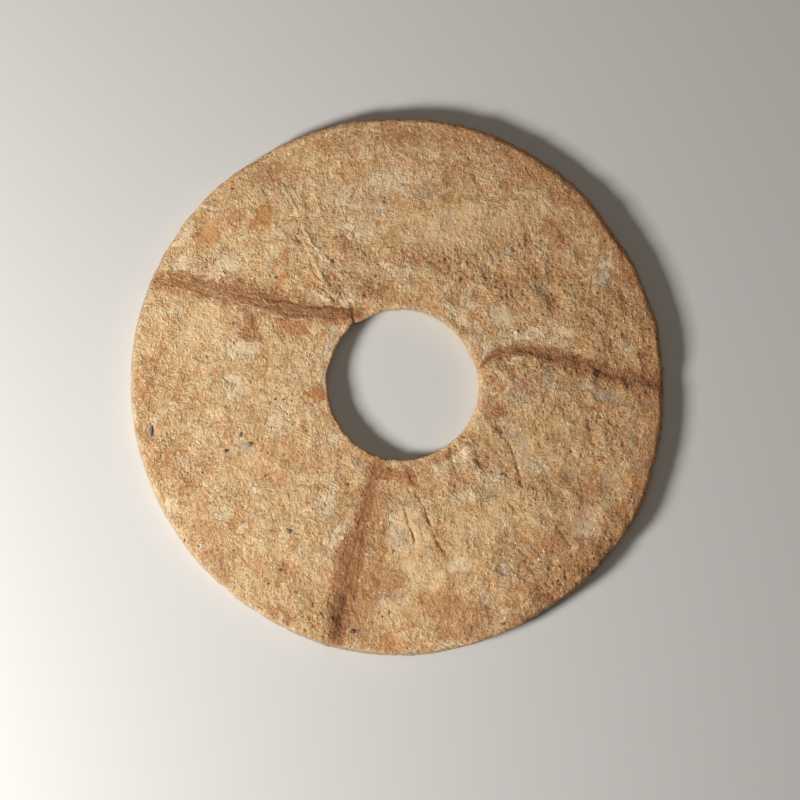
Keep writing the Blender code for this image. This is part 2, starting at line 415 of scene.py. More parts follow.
# %% Lime, and the grey glass
PALE = (
    (147, 0.8, 8, 2.8, 15, 0.9), (150, 0.84, 5, 2.4, -20, 0.8), (123, 0.85, 2.1, 1.7, 0, 0.9),
    (121, 0.75, 2.3, 1.1, 10, 1), (116, 0.71, 1.7, 1.3, 0, 0.8), (136, 0.96, 2.6, 1.7, 0, 0.8),
    (96, 0.46, 2.3, 1.8, 0, 0.9), (130, 0.42, 2.2, 1.3, -40, 0.9), (160, 0.71, 6, 5.5, 0, 0.3),
    (177, 0.61, 6.4, 3.4, 20, 0.7), (183, 0.62, 3.9, 2.1, 70, 0.8), (59, 0.71, 3.9, 2.6, 0, 0.5),
    (32, 0.93, 2.6, 1.7, 0, 0.8), (30, 0.9, 3.4, 2, 0, 0.8), (22, 0.5, 5, 2.2, -10, 1),
    (22, 0.57, 5, 2.2, 0, 0.9), (18, 0.65, 5, 2.6, -10, 0.9), (25, 0.44, 5, 3, -60, 0.7),
    (10, 0.87, 2.6, 1.7, 0, 0.7), (46, 0.35, 4.6, 1.8, -50, 0.9), (57, 0.35, 3.2, 1.7, -40, 0.8),
    (36, 0.37, 4, 1.6, -60, 0.8), (19, 0.8, 2.6, 1.7, 0, 0.6), (16, 0.98, 2.6, 1.7, 80, 0.7),
    (217, 0.8, 5.1, 3.4, 0, 0.7), (223, 0.79, 3.4, 1.5, 35, 0.9), (216, 0.65, 3.4, 2.6, 0, 0.6),
    (219, 0.31, 4.2, 3, -45, 0.7), (232, 0.58, 3.4, 2.6, 0, 0.7), (208, 0.95, 5.1, 3.5, -60, 0.8),
    (273, 0.675, 3.6, 3, 0, 0.6), (290, 0.71, 4.6, 3.4, 0, 0.75), (329, 0.57, 3.9, 3, 0, 0.6),
    (340, 0.97, 3, 2.1, 70, 0.7), (311, 0.85, 5.8, 3.4, 20, 0.8), (332, 0.92, 3, 2.1, 0, 0.4),
    (325, 0.88, 4.3, 1.7, 10, 0.3), (296, 0.93, 3.4, 2.1, 10, 0.8), (281, 0.97, 4, 1.7, 12, 0.8),
    (281, 0.55, 6.4, 3, 80, 0.4), (267.5, 0.5, 8, 2.6, 75, 0.6), (298, 0.35, 3.4, 3, 0, 0.6),
    (266, 0.81, 3.9, 1.5, 55, 0.8), (6, 0.38, 3.4, 1.7, -10, 0.7), (313, 0.45, 2.4, 3.4, 0, 0.7),
    (320, 0.5, 2, 4, 25, 0.7), (248, 0.6, 7, 3, 60, 0.8), (240, 0.7, 4, 2, 60, 0.6),
    (130, 0.45, 3, 2, -40, 0.6), (144, 0.775, 7, 4.4, 20, 1), (144.5, 0.98, 7, 2, 55, 1),
    (162, 0.9, 7, 4.4, 60, 0.5), (248, 0.7, 4, 2.4, 70, 0.5), (28, 0.87, 4, 3, 20, 0.8),
    (50, 0.42, 7, 4, -50, 0.6), (20, 0.37, 5, 3, -30, 0.9), (98, 0.66, 12, 9, 0, 0.5),
    (92, 0.76, 12, 6, 0, 0.7), (119, 0.36, 5, 4, -60, 0.8), (121, 0.5, 6, 4, -60, 0.3),
    (103, 0.6, 9, 7, 0, 0.6), (103, 0.71, 9, 7, 0, 0.6), (88, 0.43, 10, 5, 0, 0.5), (150, 0.93, 7, 4, 60, 0.6),
    (166, 0.6, 7, 5, 0, 0.8), (183, 0.58, 7, 6, 0, 0.4), (196, 0.42, 7, 5, 60, 0.5), (240, 0.48, 8, 6, 0, 0.4),
    (312, 0.36, 6, 4, 40, 0.9), (301, 0.48, 7, 4, 30, 0.5), (300, 0.8, 6, 5, 0, 0.4), (15, 0.6, 8, 5, -10, 0.7),
    (15, 0.42, 9, 6, 60, 0.5), (137, 0.48, 6, 5, 0, 0.5), (20, 0.44, 6, 3, 0, 0.8), (329, 0.6, 6, 5, 0, 0.4),
    (34, 0.47, 6, 5, -60, 0.9), (33, 0.66, 7, 5, -30, 0.45), (105, 0.72, 9, 6, 15, 0.75),
    (180, 0.6, 8, 6, 90, 0.6), (196, 0.46, 8, 5, 70, 0.6), (330, 0.6, 6, 5, 0, 0.6),
    (315, 0.48, 8, 5, 45, 0.55), (240, 0.5, 8, 5, 60, 0.55),
)
GREY = (
    (82, 0.72, 4.3, 2.1, 0, 0.5), (73, 0.66, 3.4, 2.1, 0, 0.6), (51, 0.65, 2.6, 2.2, 0, 0.7),
    (28, 0.87, 4.6, 3.2, 20, 1), (38, 0.46, 2.6, 1.7, 0, 0.7), (23, 0.36, 3, 2, 30, 0.9),
    (151, 0.29, 6.4, 1.5, 65, 0.9), (141, 0.33, 2.4, 1.7, 50, 0.8), (170, 0.27, 5, 1.3, 80, 0.7),
    (0.5, 0.7, 4.6, 1.8, 10, 1), (358, 0.76, 5.6, 1.9, -32, 1), (356.5, 0.83, 4.6, 1.5, -20, 1),
    (356.5, 0.95, 4.2, 1.7, 0, 1), (3, 0.56, 2.2, 4.2, 0, 0.8), (355, 0.46, 3.6, 3, 0, 0.7),
    (358, 0.48, 3, 1.8, 0, 0.7), (270, 0.56, 4.6, 5.4, 0, 0.7), (266, 0.8, 8, 2.4, 45, 0.6),
    (190, 0.93, 3.9, 1.6, 80, 1), (202, 0.6, 2.6, 2.1, 0, 0.8), (242, 0.32, 2.8, 2.2, 0, 0.7),
    (336, 0.86, 6, 3.2, 75, 0.5), (326, 0.83, 3, 2.1, 0, 0.9), (323, 0.86, 6.8, 5.4, 5, 0.62),
    (335.5, 0.52, 7, 3, -65, 0.6), (311, 0.53, 3.4, 2.6, 0, 0.7), (330, 0.81, 2.6, 2.1, 0, 0.7),
    (333, 0.72, 3.4, 2.6, 0, 0.5), (275, 0.43, 2.6, 2.1, 0, 0.7), (293, 0.87, 3, 2.1, 0, 0.8),
    (301, 0.79, 3, 2.1, 0, 0.7), (270, 0.78, 3.4, 2.6, 0, 0.6), (95, 0.65, 2.3, 1.7, 30, 0.8),
    (341, 0.95, 3, 2.2, 0, 0.6), (233, 0.66, 2.4, 1.8, 0, 0.7), (4, 0.46, 2.5, 2, 0, 0.7),
)
print("patches of lime and of glass:", len(PALE), len(GREY))

# %% Rough and smooth skin
ROUGH = (
    # the broken band from above the bore to the right rim, and round the right crease
    (77, 0.49, 10, 5, 0, 0.7), (62, 0.49, 12, 7, -25, 1), (46, 0.53, 13, 8, -30, 1), (33, 0.66, 14, 9, -30, 1),
    (18, 0.82, 14, 10, -50, 1), (45, 0.7, 14, 7, -40, 0.6), (9, 0.55, 16, 6, -10, 0.6),
    (3, 0.8, 18, 6, -10, 0.8), (352, 0.6, 10, 7, 0, 0.3), (10, 0.93, 6, 14, 0, 0.6),
    (28, 0.42, 10, 5, -60, 0.5), (68, 0.85, 12, 5, -20, 0.4),
    # where the scratches and the left crease meet the bore
    (122, 0.42, 12, 8, -50, 0.9), (112, 0.4, 10, 6, 0, 0.8), (108, 0.52, 12, 6, -40, 0.5),
    (122, 0.58, 14, 4, -60, 0.5), (146, 0.62, 16, 4, -15, 0.5), (133, 0.85, 8, 5, 40, 0.3),
    # the lower right rim and the cuts
    (318, 0.97, 18, 9, 48, 1), (308, 0.93, 14, 8, 36, 1), (304, 0.8, 10, 7, 0, 0.7),
    (328, 0.96, 12, 6, 58, 0.6), (300, 0.4, 8, 8, 20, 0.7), (318, 0.4, 12, 7, -50, 0.8),
    (338, 0.4, 7, 4, -60, 0.7), (322, 0.62, 14, 8, -60, 0.5), (286, 0.5, 12, 5, -70, 0.5),
    (345, 0.8, 14, 9, 0, 0.4), (255, 0.86, 12, 5, 75, 0.6), (250, 0.92, 12, 6, -20, 0.5),
    (200, 0.9, 9, 8, 60, 0.2),
)
SMOOTH = (
    (270, 0.54, 14, 5, 75, 0.8), (274, 0.62, 12, 5, 80, 0.8), (278, 0.74, 10, 8, 20, 0.7),
    (289, 0.7, 8, 5, 0, 0.8), (293, 0.58, 7, 6, 60, 0.7), (295, 0.38, 6, 4, 30, 0.7), (325, 0.86, 9, 6, 0, 0.6),
    (336, 0.9, 5, 8, 0, 0.8), (268, 0.82, 14, 7, 10, 0.7), (72, 0.63, 13, 8, 20, 0.8),
    (57, 0.71, 10, 8, 0, 0.6), (88, 0.76, 10, 7, 0, 0.5), (86, 0.6, 9, 6, 0, 0.6), (50, 0.85, 8, 6, -40, 0.5),
    (163, 0.77, 12, 9, 60, 0.7), (168, 0.94, 10, 4, 80, 0.6), (140, 0.9, 7, 6, 40, 0.8),
    (96, 0.6, 6, 4, 0, 0.6), (207, 0.6, 7, 6, 0, 0.6), (231, 0.91, 7, 6, -40, 0.6), (249, 0.78, 7, 9, 0, 0.5),
    (313, 0.6, 10, 6, 30, 0.5), (345, 0.62, 8, 6, 0, 0.4), (335.5, 0.52, 10, 5, -65, 0.9),
    (323, 0.86, 8, 7, 0, 0.9), (15, 0.8, 7, 5, 80, 0.6), (301, 0.62, 6, 6, 0, 0.6), (282, 0.55, 8, 3, 80, 0.7),
)
print("rough and smooth places:", len(ROUGH), len(SMOOTH))

# %% [markdown]
# ## Creases, cracks and cuts
#
# Three creases run from the bore to the rim, where the plate once cracked and soil settled in. Each is a broad,
# shallow valley with a band of soil in it, whose width and strength change along the way. Thin dark cracks and
# thin pale ridges follow them. On the lower right are short cuts, all leaning the same way, and on the upper left
# a sheaf of fine scratches. All of them are routes of a few points.

# %% Creases, cracks and cuts
LEFT_CREASE = ((156, 0.99), (153, 0.87), (152, 0.74), (148, 0.62), (145, 0.53), (140, 0.44), (131, 0.36),
               (118, 0.31))
RIGHT_CREASE = ((13, 0.32), (17, 0.36), (18.2, 0.41), (17.2, 0.47), (14, 0.53), (11.3, 0.585), (9.4, 0.63),
                (7.5, 0.675), (5.6, 0.72), (3.9, 0.77), (2.6, 0.83), (1.2, 0.9), (0, 0.99))
LOWER_CREASE = ((256.4, 0.3), (255.8, 0.41), (255, 0.55), (255.2, 0.72), (256, 0.85), (256.4, 0.99))
SHEAF = ((120, 0.9), (120, 0.8), (121, 0.68), (122, 0.55), (123, 0.42))

# route; along it, the share travelled, half the width of the soil band in mm and how full of soil it is; half
# the width of the valley; its depth
CREASES = (
    (LEFT_CREASE, ((0, 1.5, 0.55), (0.25, 1.6, 0.75), (0.5, 1.8, 0.85), (0.75, 1.5, 0.9), (1, 0.9, 1)),
     3.4, 0.14),
    (RIGHT_CREASE, ((0, 0.4, 0.6), (0.12, 0.9, 1), (0.45, 1, 1), (0.6, 1.4, 0.85), (1, 1.5, 0.75)),
     3, 0.1),
    (LOWER_CREASE, ((0, 1.1, 0.8), (0.3, 1.2, 0.9), (0.5, 2.2, 0.9), (0.7, 2.2, 0.9), (1, 1.2, 1)),
     3.6, 0.12),
)
SHEAF_WIDTH = 2.4        # half the width of the sheaf of scratches

# dark cracks: route, half width, depth, and how dark the soil in it is
CRACKS = (
    (((146, 0.6), (143, 0.53), (139, 0.46), (131, 0.39), (123, 0.35), (118, 0.31)), 0.45, 0.14, 0.8),
    (((118.5, 0.365), (120, 0.335), (122.3, 0.305), (124.5, 0.275), (126, 0.25)), 0.6, 0.3, 2.2),
    (((153, 0.9), (152, 0.78), (149, 0.66), (146, 0.58)), 0.35, 0.05, 0.4),
    (((13, 0.32), (17, 0.36), (18.2, 0.41), (17.2, 0.47), (14, 0.53), (11.3, 0.585), (9.6, 0.63), (9.7, 0.68),
      (10, 0.74)), 0.75, 0.17, 0.85),
    (((8.6, 0.56), (7.6, 0.6), (6.6, 0.65)), 0.35, 0.07, 0.6),
    (((8, 0.66), (5.6, 0.72), (3.9, 0.77), (2.6, 0.83), (1.2, 0.9), (0, 1)), 0.55, 0.1, 0.6),
    (((256.4, 0.31), (255.7, 0.38), (255, 0.45), (254.8, 0.52), (255, 0.6)), 0.45, 0.07, 0.5),
    (((255.1, 0.6), (255.2, 0.68), (255.2, 0.76)), 0.4, 0.04, 0.3),
    (((255.9, 0.79), (256.4, 0.84), (256.5, 0.9), (256.8, 0.965)), 1.35, 0.18, 1.8),
    (((351, 0.8), (348, 0.85)), 0.35, 0.05, 0.3),
    (((62, 0.7), (61, 0.65), (59, 0.61)), 0.35, 0.06, 0.6),
    (((134, 0.98), (134, 0.94)), 0.35, 0.06, 0.4),
    (((159, 0.67), (159, 0.64)), 0.3, 0.06, 0.9),
    (((175, 0.79), (180, 0.77)), 0.3, 0.05, 0.5),
    (((214, 0.57), (214, 0.61)), 0.3, 0.08, 1),
    (((248, 0.91), (247, 0.94)), 0.35, 0.06, 0.6),
    # the sheaf of scratches
    (((120.5, 0.89), (120.5, 0.84), (120, 0.79)), 0.3, 0.08, 0.6),
    (((119, 0.885), (119, 0.84), (118.7, 0.8)), 0.28, 0.07, 0.5),
    (((121, 0.735), (121.3, 0.69), (121.6, 0.655)), 0.28, 0.07, 0.5),
    (((123.3, 0.7), (123.6, 0.67), (123.6, 0.64)), 0.42, 0.09, 0.9),
    (((121, 0.62), (120.6, 0.58), (120.6, 0.53)), 0.3, 0.07, 0.5),
    (((125, 0.57), (125.6, 0.52), (126, 0.46)), 0.3, 0.07, 0.5),
    (((117.6, 0.54), (117.2, 0.52)), 0.42, 0.1, 1),
    (((122, 0.5), (122, 0.44), (121, 0.38)), 0.35, 0.09, 0.6),
    (((118.5, 0.5), (117.5, 0.44), (116, 0.38)), 0.35, 0.09, 0.6),
    (((127, 0.46), (127, 0.42), (126, 0.39)), 0.3, 0.07, 0.5),
)
CUTS = (
    (((273, 0.44), (275.6, 0.52), (276.6, 0.6)), 0.42, 0.12, 0.9),
    (((277, 0.29), (280, 0.39), (282, 0.46), (284, 0.55), (286, 0.66)), 0.5, 0.15, 0.9),
    (((283.5, 0.57), (285, 0.61), (286.5, 0.67)), 0.5, 0.12, 0.8),
    (((308.4, 0.305), (305.6, 0.36), (303, 0.43)), 0.5, 0.12, 0.8),
    (((339.5, 0.39), (334.7, 0.455), (330, 0.5), (326, 0.54), (320, 0.615)), 0.6, 0.2, 0.8),
    (((333, 0.41), (328, 0.47)), 0.45, 0.1, 0.5),
    (((320, 0.7), (318, 0.74)), 0.45, 0.1, 0.4),
    (((320, 0.74), (318, 0.83), (318, 0.87)), 0.45, 0.1, 0.4),
    (((306, 0.8), (306.5, 0.87), (305.5, 0.94)), 0.55, 0.12, 0.4),
    (((314, 0.59), (313.6, 0.63), (313.5, 0.67)), 0.45, 0.08, 0.5),
    (((344, 0.72), (341, 0.77)), 0.4, 0.05, 0.2),
    (((305, 0.7), (307, 0.75)), 0.4, 0.07, 0.3),
    (((317, 0.36), (313, 0.42)), 0.5, 0.1, 0.4),
    (((319, 0.4), (315, 0.45)), 0.4, 0.08, 0.4),
)
# pale ridges, which stand proud: route, half width, less than no depth, and how pale
RIDGES = (
    (((153, 0.76), (152, 0.65), (150, 0.56), (148, 0.48), (142, 0.4)), 0.35, -0.06, 0.7),
    (((12.5, 0.4), (13.8, 0.45), (12.8, 0.49), (11.5, 0.53), (10.2, 0.56), (8.6, 0.6)), 0.5, -0.09, 1),
    (((249, 0.61), (253, 0.57), (256, 0.53), (258, 0.52)), 0.4, -0.06, 0.9),
    (((47, 0.92), (47, 0.96)), 0.3, -0.05, 0.6),
    (((145, 0.62), (141, 0.55), (138, 0.48)), 0.25, -0.02, 0.4),
    (((119.4, 0.87), (119.4, 0.8), (119.6, 0.74), (121, 0.64), (119.4, 0.57)), 0.46, -0.13, 1.2),
    (((119, 0.56), (117.8, 0.5), (116.2, 0.43), (115.4, 0.37)), 0.46, -0.12, 1),
    (((123.4, 0.69), (122.8, 0.62), (122.6, 0.57), (124, 0.51), (125, 0.47)), 0.46, -0.12, 1.1),
    (((117.4, 0.84), (117.6, 0.78), (118, 0.73)), 0.34, -0.07, 0.8),
    (((154, 0.92), (152.5, 0.84), (151, 0.76), (150.6, 0.7)), 0.28, -0.03, 0.5),
    (((265, 0.955), (262, 0.88), (266, 0.82), (271, 0.75)), 0.6, -0.02, 0.3),
)
print("creases", len(CREASES), "cracks", len(CRACKS), "cuts", len(CUTS), "ridges", len(RIDGES))

# %% How far a point is from a line
WOBBLE = ((0.20, 1.7), (0.28, 4.0))     # how far a thin line strays, and over what length, in mm
SHADED = 3               # soil or lime reaches this many half widths from a line's middle
FAR = 9.0                # half widths beyond which no line is felt


def lines(x, y, points, routes, seed):
    """The nearest of several thin lines at each point: its depth in mm, how dark or pale it is there, and the
    distance to its left in half widths, less than 0 to its right. A line wobbles, and comes and goes."""
    nearest, left_of = np.full(x.shape, FAR), np.full(x.shape, FAR)
    depth, strength = np.zeros(x.shape), np.zeros(x.shape)
    wobble = sum(stray * noise(points, size, seed + k) for k, (stray, size) in enumerate(WOBBLE))
    present = np.clip(0.9 + 1.3 * noise(points, 2.6, seed + 2), 0.05, 1.4)
    for route, half_width, deep, shade in routes:
        along, left = beside(x, y, route)
        left = (left + wobble) / half_width
        closer = np.abs(left) < nearest
        ends = eased(along, -0.02, 0.08) * (1 - 0.9 * eased(along, 0.85, 1)) * present
        nearest = np.where(closer, np.abs(left), nearest)
        left_of = np.where(closer, left, left_of)
        strength = np.where(closer, shade * ends, strength)
        depth = np.where(closer, deep * ends, depth)
    fades = np.clip(SHADED - nearest, 0, 1)
    section = (1 - np.clip(nearest, 0, 1) ** 2) ** 2
    return depth * section, np.clip(strength * fades, 0, 1), np.clip(left_of, -FAR, FAR)


def run_of_ways(x, y):
    """Where points lie beside the nearest crease or the sheaf of scratches: its number, the mm travelled along
    it and the mm to its left, which streaks in the soil and the scratches follow."""
    number, run, nearest = np.zeros(x.shape), np.zeros(x.shape), np.full(x.shape, np.inf)
    share_of = np.zeros(x.shape)
    for k, route in enumerate((LEFT_CREASE, RIGHT_CREASE, LOWER_CREASE, SHEAF)):
        share, left = beside(x, y, route)
        length = np.hypot(*np.diff(flowing(route), axis=0).T).sum()
        closer = np.abs(left) < np.abs(nearest)
        number, run = np.where(closer, k, number), np.where(closer, share * length, run)
        nearest, share_of = np.where(closer, left, nearest), np.where(closer, share, share_of)
    return number, share_of, run, nearest


share, left = beside(np.array([0.6 * outer]), np.zeros(1), RIGHT_CREASE)
print("a point beside the right crease: share", share.round(2), "mm to its left", left.round(2))

# %% [markdown]
# ## The relief of the skin
#
# All relief is worked out for any point of the surface at once, so that the pieces added later can ask how high
# the face is where they lie. The broad waves are those of the imported solid. On top come the beds of the creases,
# the cracks and cuts, rolling unevenness that halves in height as it halves in size, and pits where the skin has
# crumbled. The same step hands back the masks of each stain, because soil gathers in what is hollow; the pits are
# also painted darker and the crests lighter, as painted shade and light on the relief.

# %% Sizes of the relief, in mm
FACE_WAVES = ((94.0, 0.16, 25.0), (61.0, 0.10, 100.0), (47.0, 0.07, 160.0))    # length, height, heading
ROLL = 0.28              # height of the widest unevenness
FINE_ROLL = ((0.18, 2.25, 32), (0.19, 1.15, 33))        # share of that height, size of the hills, seed
STREAK_LENGTH, STREAK_WIDTH = 8.0, 0.5
FAULT_DEPTH = 0.34       # how much lower the plate lies beyond the lower crease
FAULT_START, FAULT_END = -1.5, 6.5      # where the plate slopes down, to the left of the crease's way
FAULT_LOST = 30.0        # where the plate has come up again
LEAF_LEVELS = np.linspace(-0.5, 0.5, 7)     # heights of a smooth hill at which one leaf of the skin ends
LEAF_EDGE = 0.05         # half the width of a leaf's edge, on the scale of those heights
LEAF_STEP = 0.055        # thickness of a leaf
LIME_CRUST = 0.035       # thickness of the pale lime
PIT_HEADING = 115        # pits and crumbled skin are longer this way, as they follow the strokes of grinding
# pits: size of their cells, their chance and what rough skin adds to it, their depth and what that adds, seed
PITS = ((2.9, 0.05, 0.12, 0.07, 0.12, 100), (1.4, 0.10, 0.26, 0.05, 0.10, 110))
# pits are dark with soil and with painted shade
FULL_PIT = 0.14          # a pit of this depth is full of soil
COMB_HEIGHT, COMB_LENGTH, COMB_WIDTH = 0.05, 6, 0.55    # the fine furrows of the sheaf
ASIDE = 0.9              # how far from its true place a stain is looked up
RIGHT_WEATHER = 0.24     # how much rougher the right side is
print("heights at which a leaf ends:", LEAF_LEVELS.round(2))


# %% The beds of the creases
def broad_waves(x, y):
    """The sum of a few long sine waves, each along its own heading."""
    total = np.zeros(x.shape)
    for length, rise, turn in FACE_WAVES:
        along = x * math.cos(math.radians(turn)) + y * math.sin(math.radians(turn))
        total += rise * np.sin(2 * math.pi / length * along)
    return total


def crease_beds(points, number, share, run, left):
    """Depth of the creases' valleys in mm, their soil and the stain round it, 0 to 1. A valley's section is the
    square of one less the square of distance over half width. Soil fills its band, in streaks along it."""
    depth, soil, stain = np.zeros(run.shape), np.zeros(run.shape), np.zeros(run.shape)
    streaks = noise(np.stack([run / STREAK_LENGTH, left / STREAK_WIDTH, number], axis=-1), 1.0, 60)
    wobble = 0.45 * noise(points, 3.5, 40) + 0.22 * noise(points, 1.2, 50)
    for k, (route, profile, valley, deep) in enumerate(CREASES):
        at, half_width, fullness = np.array(profile).T
        here = number == k
        band = np.abs(left + wobble) / np.interp(share, at, half_width)
        full = np.interp(share, at, fullness) * here
        depth += here * deep * (1 - np.clip(np.abs(left) / valley, 0, 1) ** 2) ** 2 * (1 + 0.25 * streaks)
        soil = np.maximum(soil, full * np.clip(2.6 - 1.8 * band, 0, 1) * np.clip(0.95 + 0.4 * streaks, 0, 1))
        stain = np.maximum(stain, full * np.clip(1.9 - 0.8 * band, 0, 0.9))
        if route is LOWER_CREASE:
            fault = eased(left, FAULT_START, FAULT_END) * (1 - eased(left, FAULT_END, FAULT_LOST))
            depth += here * FAULT_DEPTH * fault
    return depth, soil, stain


# %% The masks of the skin
def stain_masks(points, stain):
    """How deep points lie in each kind of stain, how rough the skin is, and how far the left side, towards the
    lamp, is painted lighter. Places are looked up a little aside of where they are, by noise, which makes every
    edge of a stain uneven."""
    x, y = points[:, 0], points[:, 1]
    aside_x = x + ASIDE * cloudy(points, 4.0, 3, 1, 0.6)
    aside_y = y + ASIDE * cloudy(points, 4.0, 3, 5, 0.6)
    lists = {"rust": RUST, "brown_stain_and_painted_shade": BROWN_AND_PAINTED_SHADE, "ochre": OCHRE, "pale": PALE, "grey": GREY, "smooth": SMOOTH,
             "rough": ROUGH}
    masks = {name: blots(aside_x, aside_y, places) for name, places in lists.items()}
    masks["brown_stain_and_painted_shade"] = np.maximum(masks["brown_stain_and_painted_shade"], stain)
    weather_side = RIGHT_WEATHER * eased(x, -0.1 * outer, 0.8 * outer)
    masks["rough"] = np.clip(masks["rough"] + weather_side + 0.2 * cloudy(points, 9.0, 3, 20), 0, 1)
    # painted light: the left side, towards the lamp, is made lighter
    masks["left_side_painted_light"] = eased(-x, -0.3 * outer, 0.6 * outer)
    return masks


def leaves(points):
    """How many leaves of the skin are left at each point: glass weathers in thin sheets, and each ends where a
    smooth hill of noise passes one of a few levels, in a step about as wide as the mesh is fine."""
    hills = cloudy(warped(slanted(points, PIT_HEADING, 1.4), 0.9, 2.0, 38), 3.4, 3, 39, 0.6)
    return sum(eased(hills, level - LEAF_EDGE, level + LEAF_EDGE) for level in LEAF_LEVELS)


# %% The height of the skin
def skin(points):
    """Height of the skin above the true face in mm, and its masks, for points given in mm."""
    x, y = points[:, 0], points[:, 1]
    number, share, run, left = run_of_ways(x, y)
    bed, soil, stain = crease_beds(points, number, share, run, left)
    scratched = (number == len(CREASES)) * np.clip(1.6 - np.abs(left) / SHEAF_WIDTH, 0, 1)
    scratched *= eased(1 - np.abs(2 * share - 1), 0, 0.2)
    masks = {**stain_masks(points, stain), "soil": soil, "scratched": scratched, "run": run + 100 * number,
             "left": left}
    crack_depth, masks["crack"], masks["crack_left"] = lines(x, y, points, CRACKS + CUTS, 70)
    ridge_depth, masks["ridge"], masks["ridge_left"] = lines(x, y, points, RIDGES, 80)
    rough = masks["rough"]
    calm = 1 - 0.7 * np.maximum(np.maximum(masks["grey"], masks["smooth"]), 0.7 * masks["pale"])
    fine = sum(share_of * noise(points, size, seed) for share_of, size, seed in FINE_ROLL)
    leaf = leaves(points) - 0.5 * len(LEAF_LEVELS)
    crumbled = np.abs(noise(slanted(warped(points, 0.5, 1.8, 35), PIT_HEADING, 1.3), 1.7, 34)) - 0.25
    roll = ROLL * cloudy(points, 9.0, 2, 30) * (0.7 + 0.5 * rough) * calm
    roll += ROLL * (fine * (0.8 + 0.8 * rough) + 0.35 * crumbled * (0.15 + rough)) * calm
    furrows = noise(np.stack([run / COMB_LENGTH, left / COMB_WIDTH, number], axis=-1), 1.0, 61)
    combed = COMB_HEIGHT * scratched * furrows
    strewn = slanted(warped(points, 0.7, 1.6, 37), PIT_HEADING, 1.5)
    pits = np.maximum(*[hollows(strewn, cell, chance + more * rough, seed) * (depth + deeper * rough)
                        for cell, chance, more, depth, deeper, seed in PITS]) * calm
    crust = LIME_CRUST * eased(masks["pale"], 0.3, 0.7) + LEAF_STEP * leaf * calm * (0.3 + 0.7 * rough)
    height = broad_waves(x, y) - bed - crack_depth - ridge_depth + roll + combed - pits + crust
    # pits and crumbled skin are darker: soil, and painted shade in them
    masks["hollow_soil_and_shade"] = np.clip(pits / FULL_PIT - 0.25 * rough * crumbled, 0, 1)
    # lighter where the relief rises and darker where it falls, as painted light and shade, with some tone at
    # random
    tone = 1.2 * fine + 0.4 * rough * crumbled + 0.07 * leaf + 0.2 * noise(points, 4.5, 31)
    masks["crest"] = 0.5 + np.clip(tone, -0.5, 0.5)
    return height, masks


level, found = skin(np.array([[0.6 * outer, 0.0, thickness]]))
print("the face at one place:", level.round(3), "masks:", len(found))

# %% [markdown]
# ## The disc as one grid
#
# The section through the plate is cut into stretches: foot and wall of the bore, its rounded lip, the face, the
# worn shoulder of the rim, its wall and foot, and the underside. Each stretch gives rings of points, and a ring
# carried round by the two edges read from the frame makes the whole surface. The outer part has twice as many
# steps as the inner part, so the two are joined by strips of triangles, and all faces stay near one size.

# %% The disc as one grid
SHOULDER, RIM_FOOT, LIP, BORE_FOOT = [share * thickness for share in (0.375, 0.175, 0.33, 0.125)]
LIP_FLATNESS = 0.6       # height of the lip's rounding as a share of its width
# how each upper edge is rounded: its size, the share of it that is the mean, what is added towards one bearing
# and taken away opposite it, that bearing, the hills round the disc, and a seed
ROUNDED = {"shoulder": (SHOULDER, 0.85, 0.15, 15, 26, 120), "lip": (LIP, 0.75, 0.35, 10, 14, 121)}
UNEVEN = 0.14            # height of those hills as a share of the size
ROWS = {"bore foot": 2, "bore wall": 5, "lip": 6, "inner face": 34, "outer face": 76, "shoulder": 9,
        "rim wall": 6, "rim foot": 2, "underside": 12}
INNER_PART = 0.30        # share of the face's width that has half the steps


def round_noise(turn, waves, seed):
    """Noise round the disc, from -1 to 1, with about the given number of hills."""
    ring = np.stack([np.cos(turn), np.sin(turn), 0 * turn], axis=-1)
    return noise(ring, 2 * math.pi / waves, seed)


def rounded_size(turn, name):
    """The size of a rounded upper edge at each bearing: both are worn wider on the right, and unevenly."""
    size, mean, lean, bearing, waves, seed = ROUNDED[name]
    return size * (mean + lean * np.cos(turn - math.radians(bearing)) + UNEVEN * round_noise(turn, waves, seed))


def bend(centre_radius, centre_height, size, start, share, flatness=1.0):
    """A quarter of an ellipse of the section, clockwise from the angle start, flatness times as high as it is
    wide: radius, height, and outward normal."""
    turn = np.radians(start - 90 * share)
    out, up = np.cos(turn) + 0 * size, np.sin(turn) + 0 * size
    length = np.hypot(out, up / flatness)
    return centre_radius + size * out, centre_height + flatness * size * up, out / length, up / flatness / length


def straight(start, end, normal, share):
    """A straight run of the section between two points (radius, height), with one outward normal."""
    radius = start[0] + (end[0] - start[0]) * share
    height = start[1] + (end[1] - start[1]) * share
    return radius, height, normal[0] + 0 * radius, normal[1] + 0 * radius


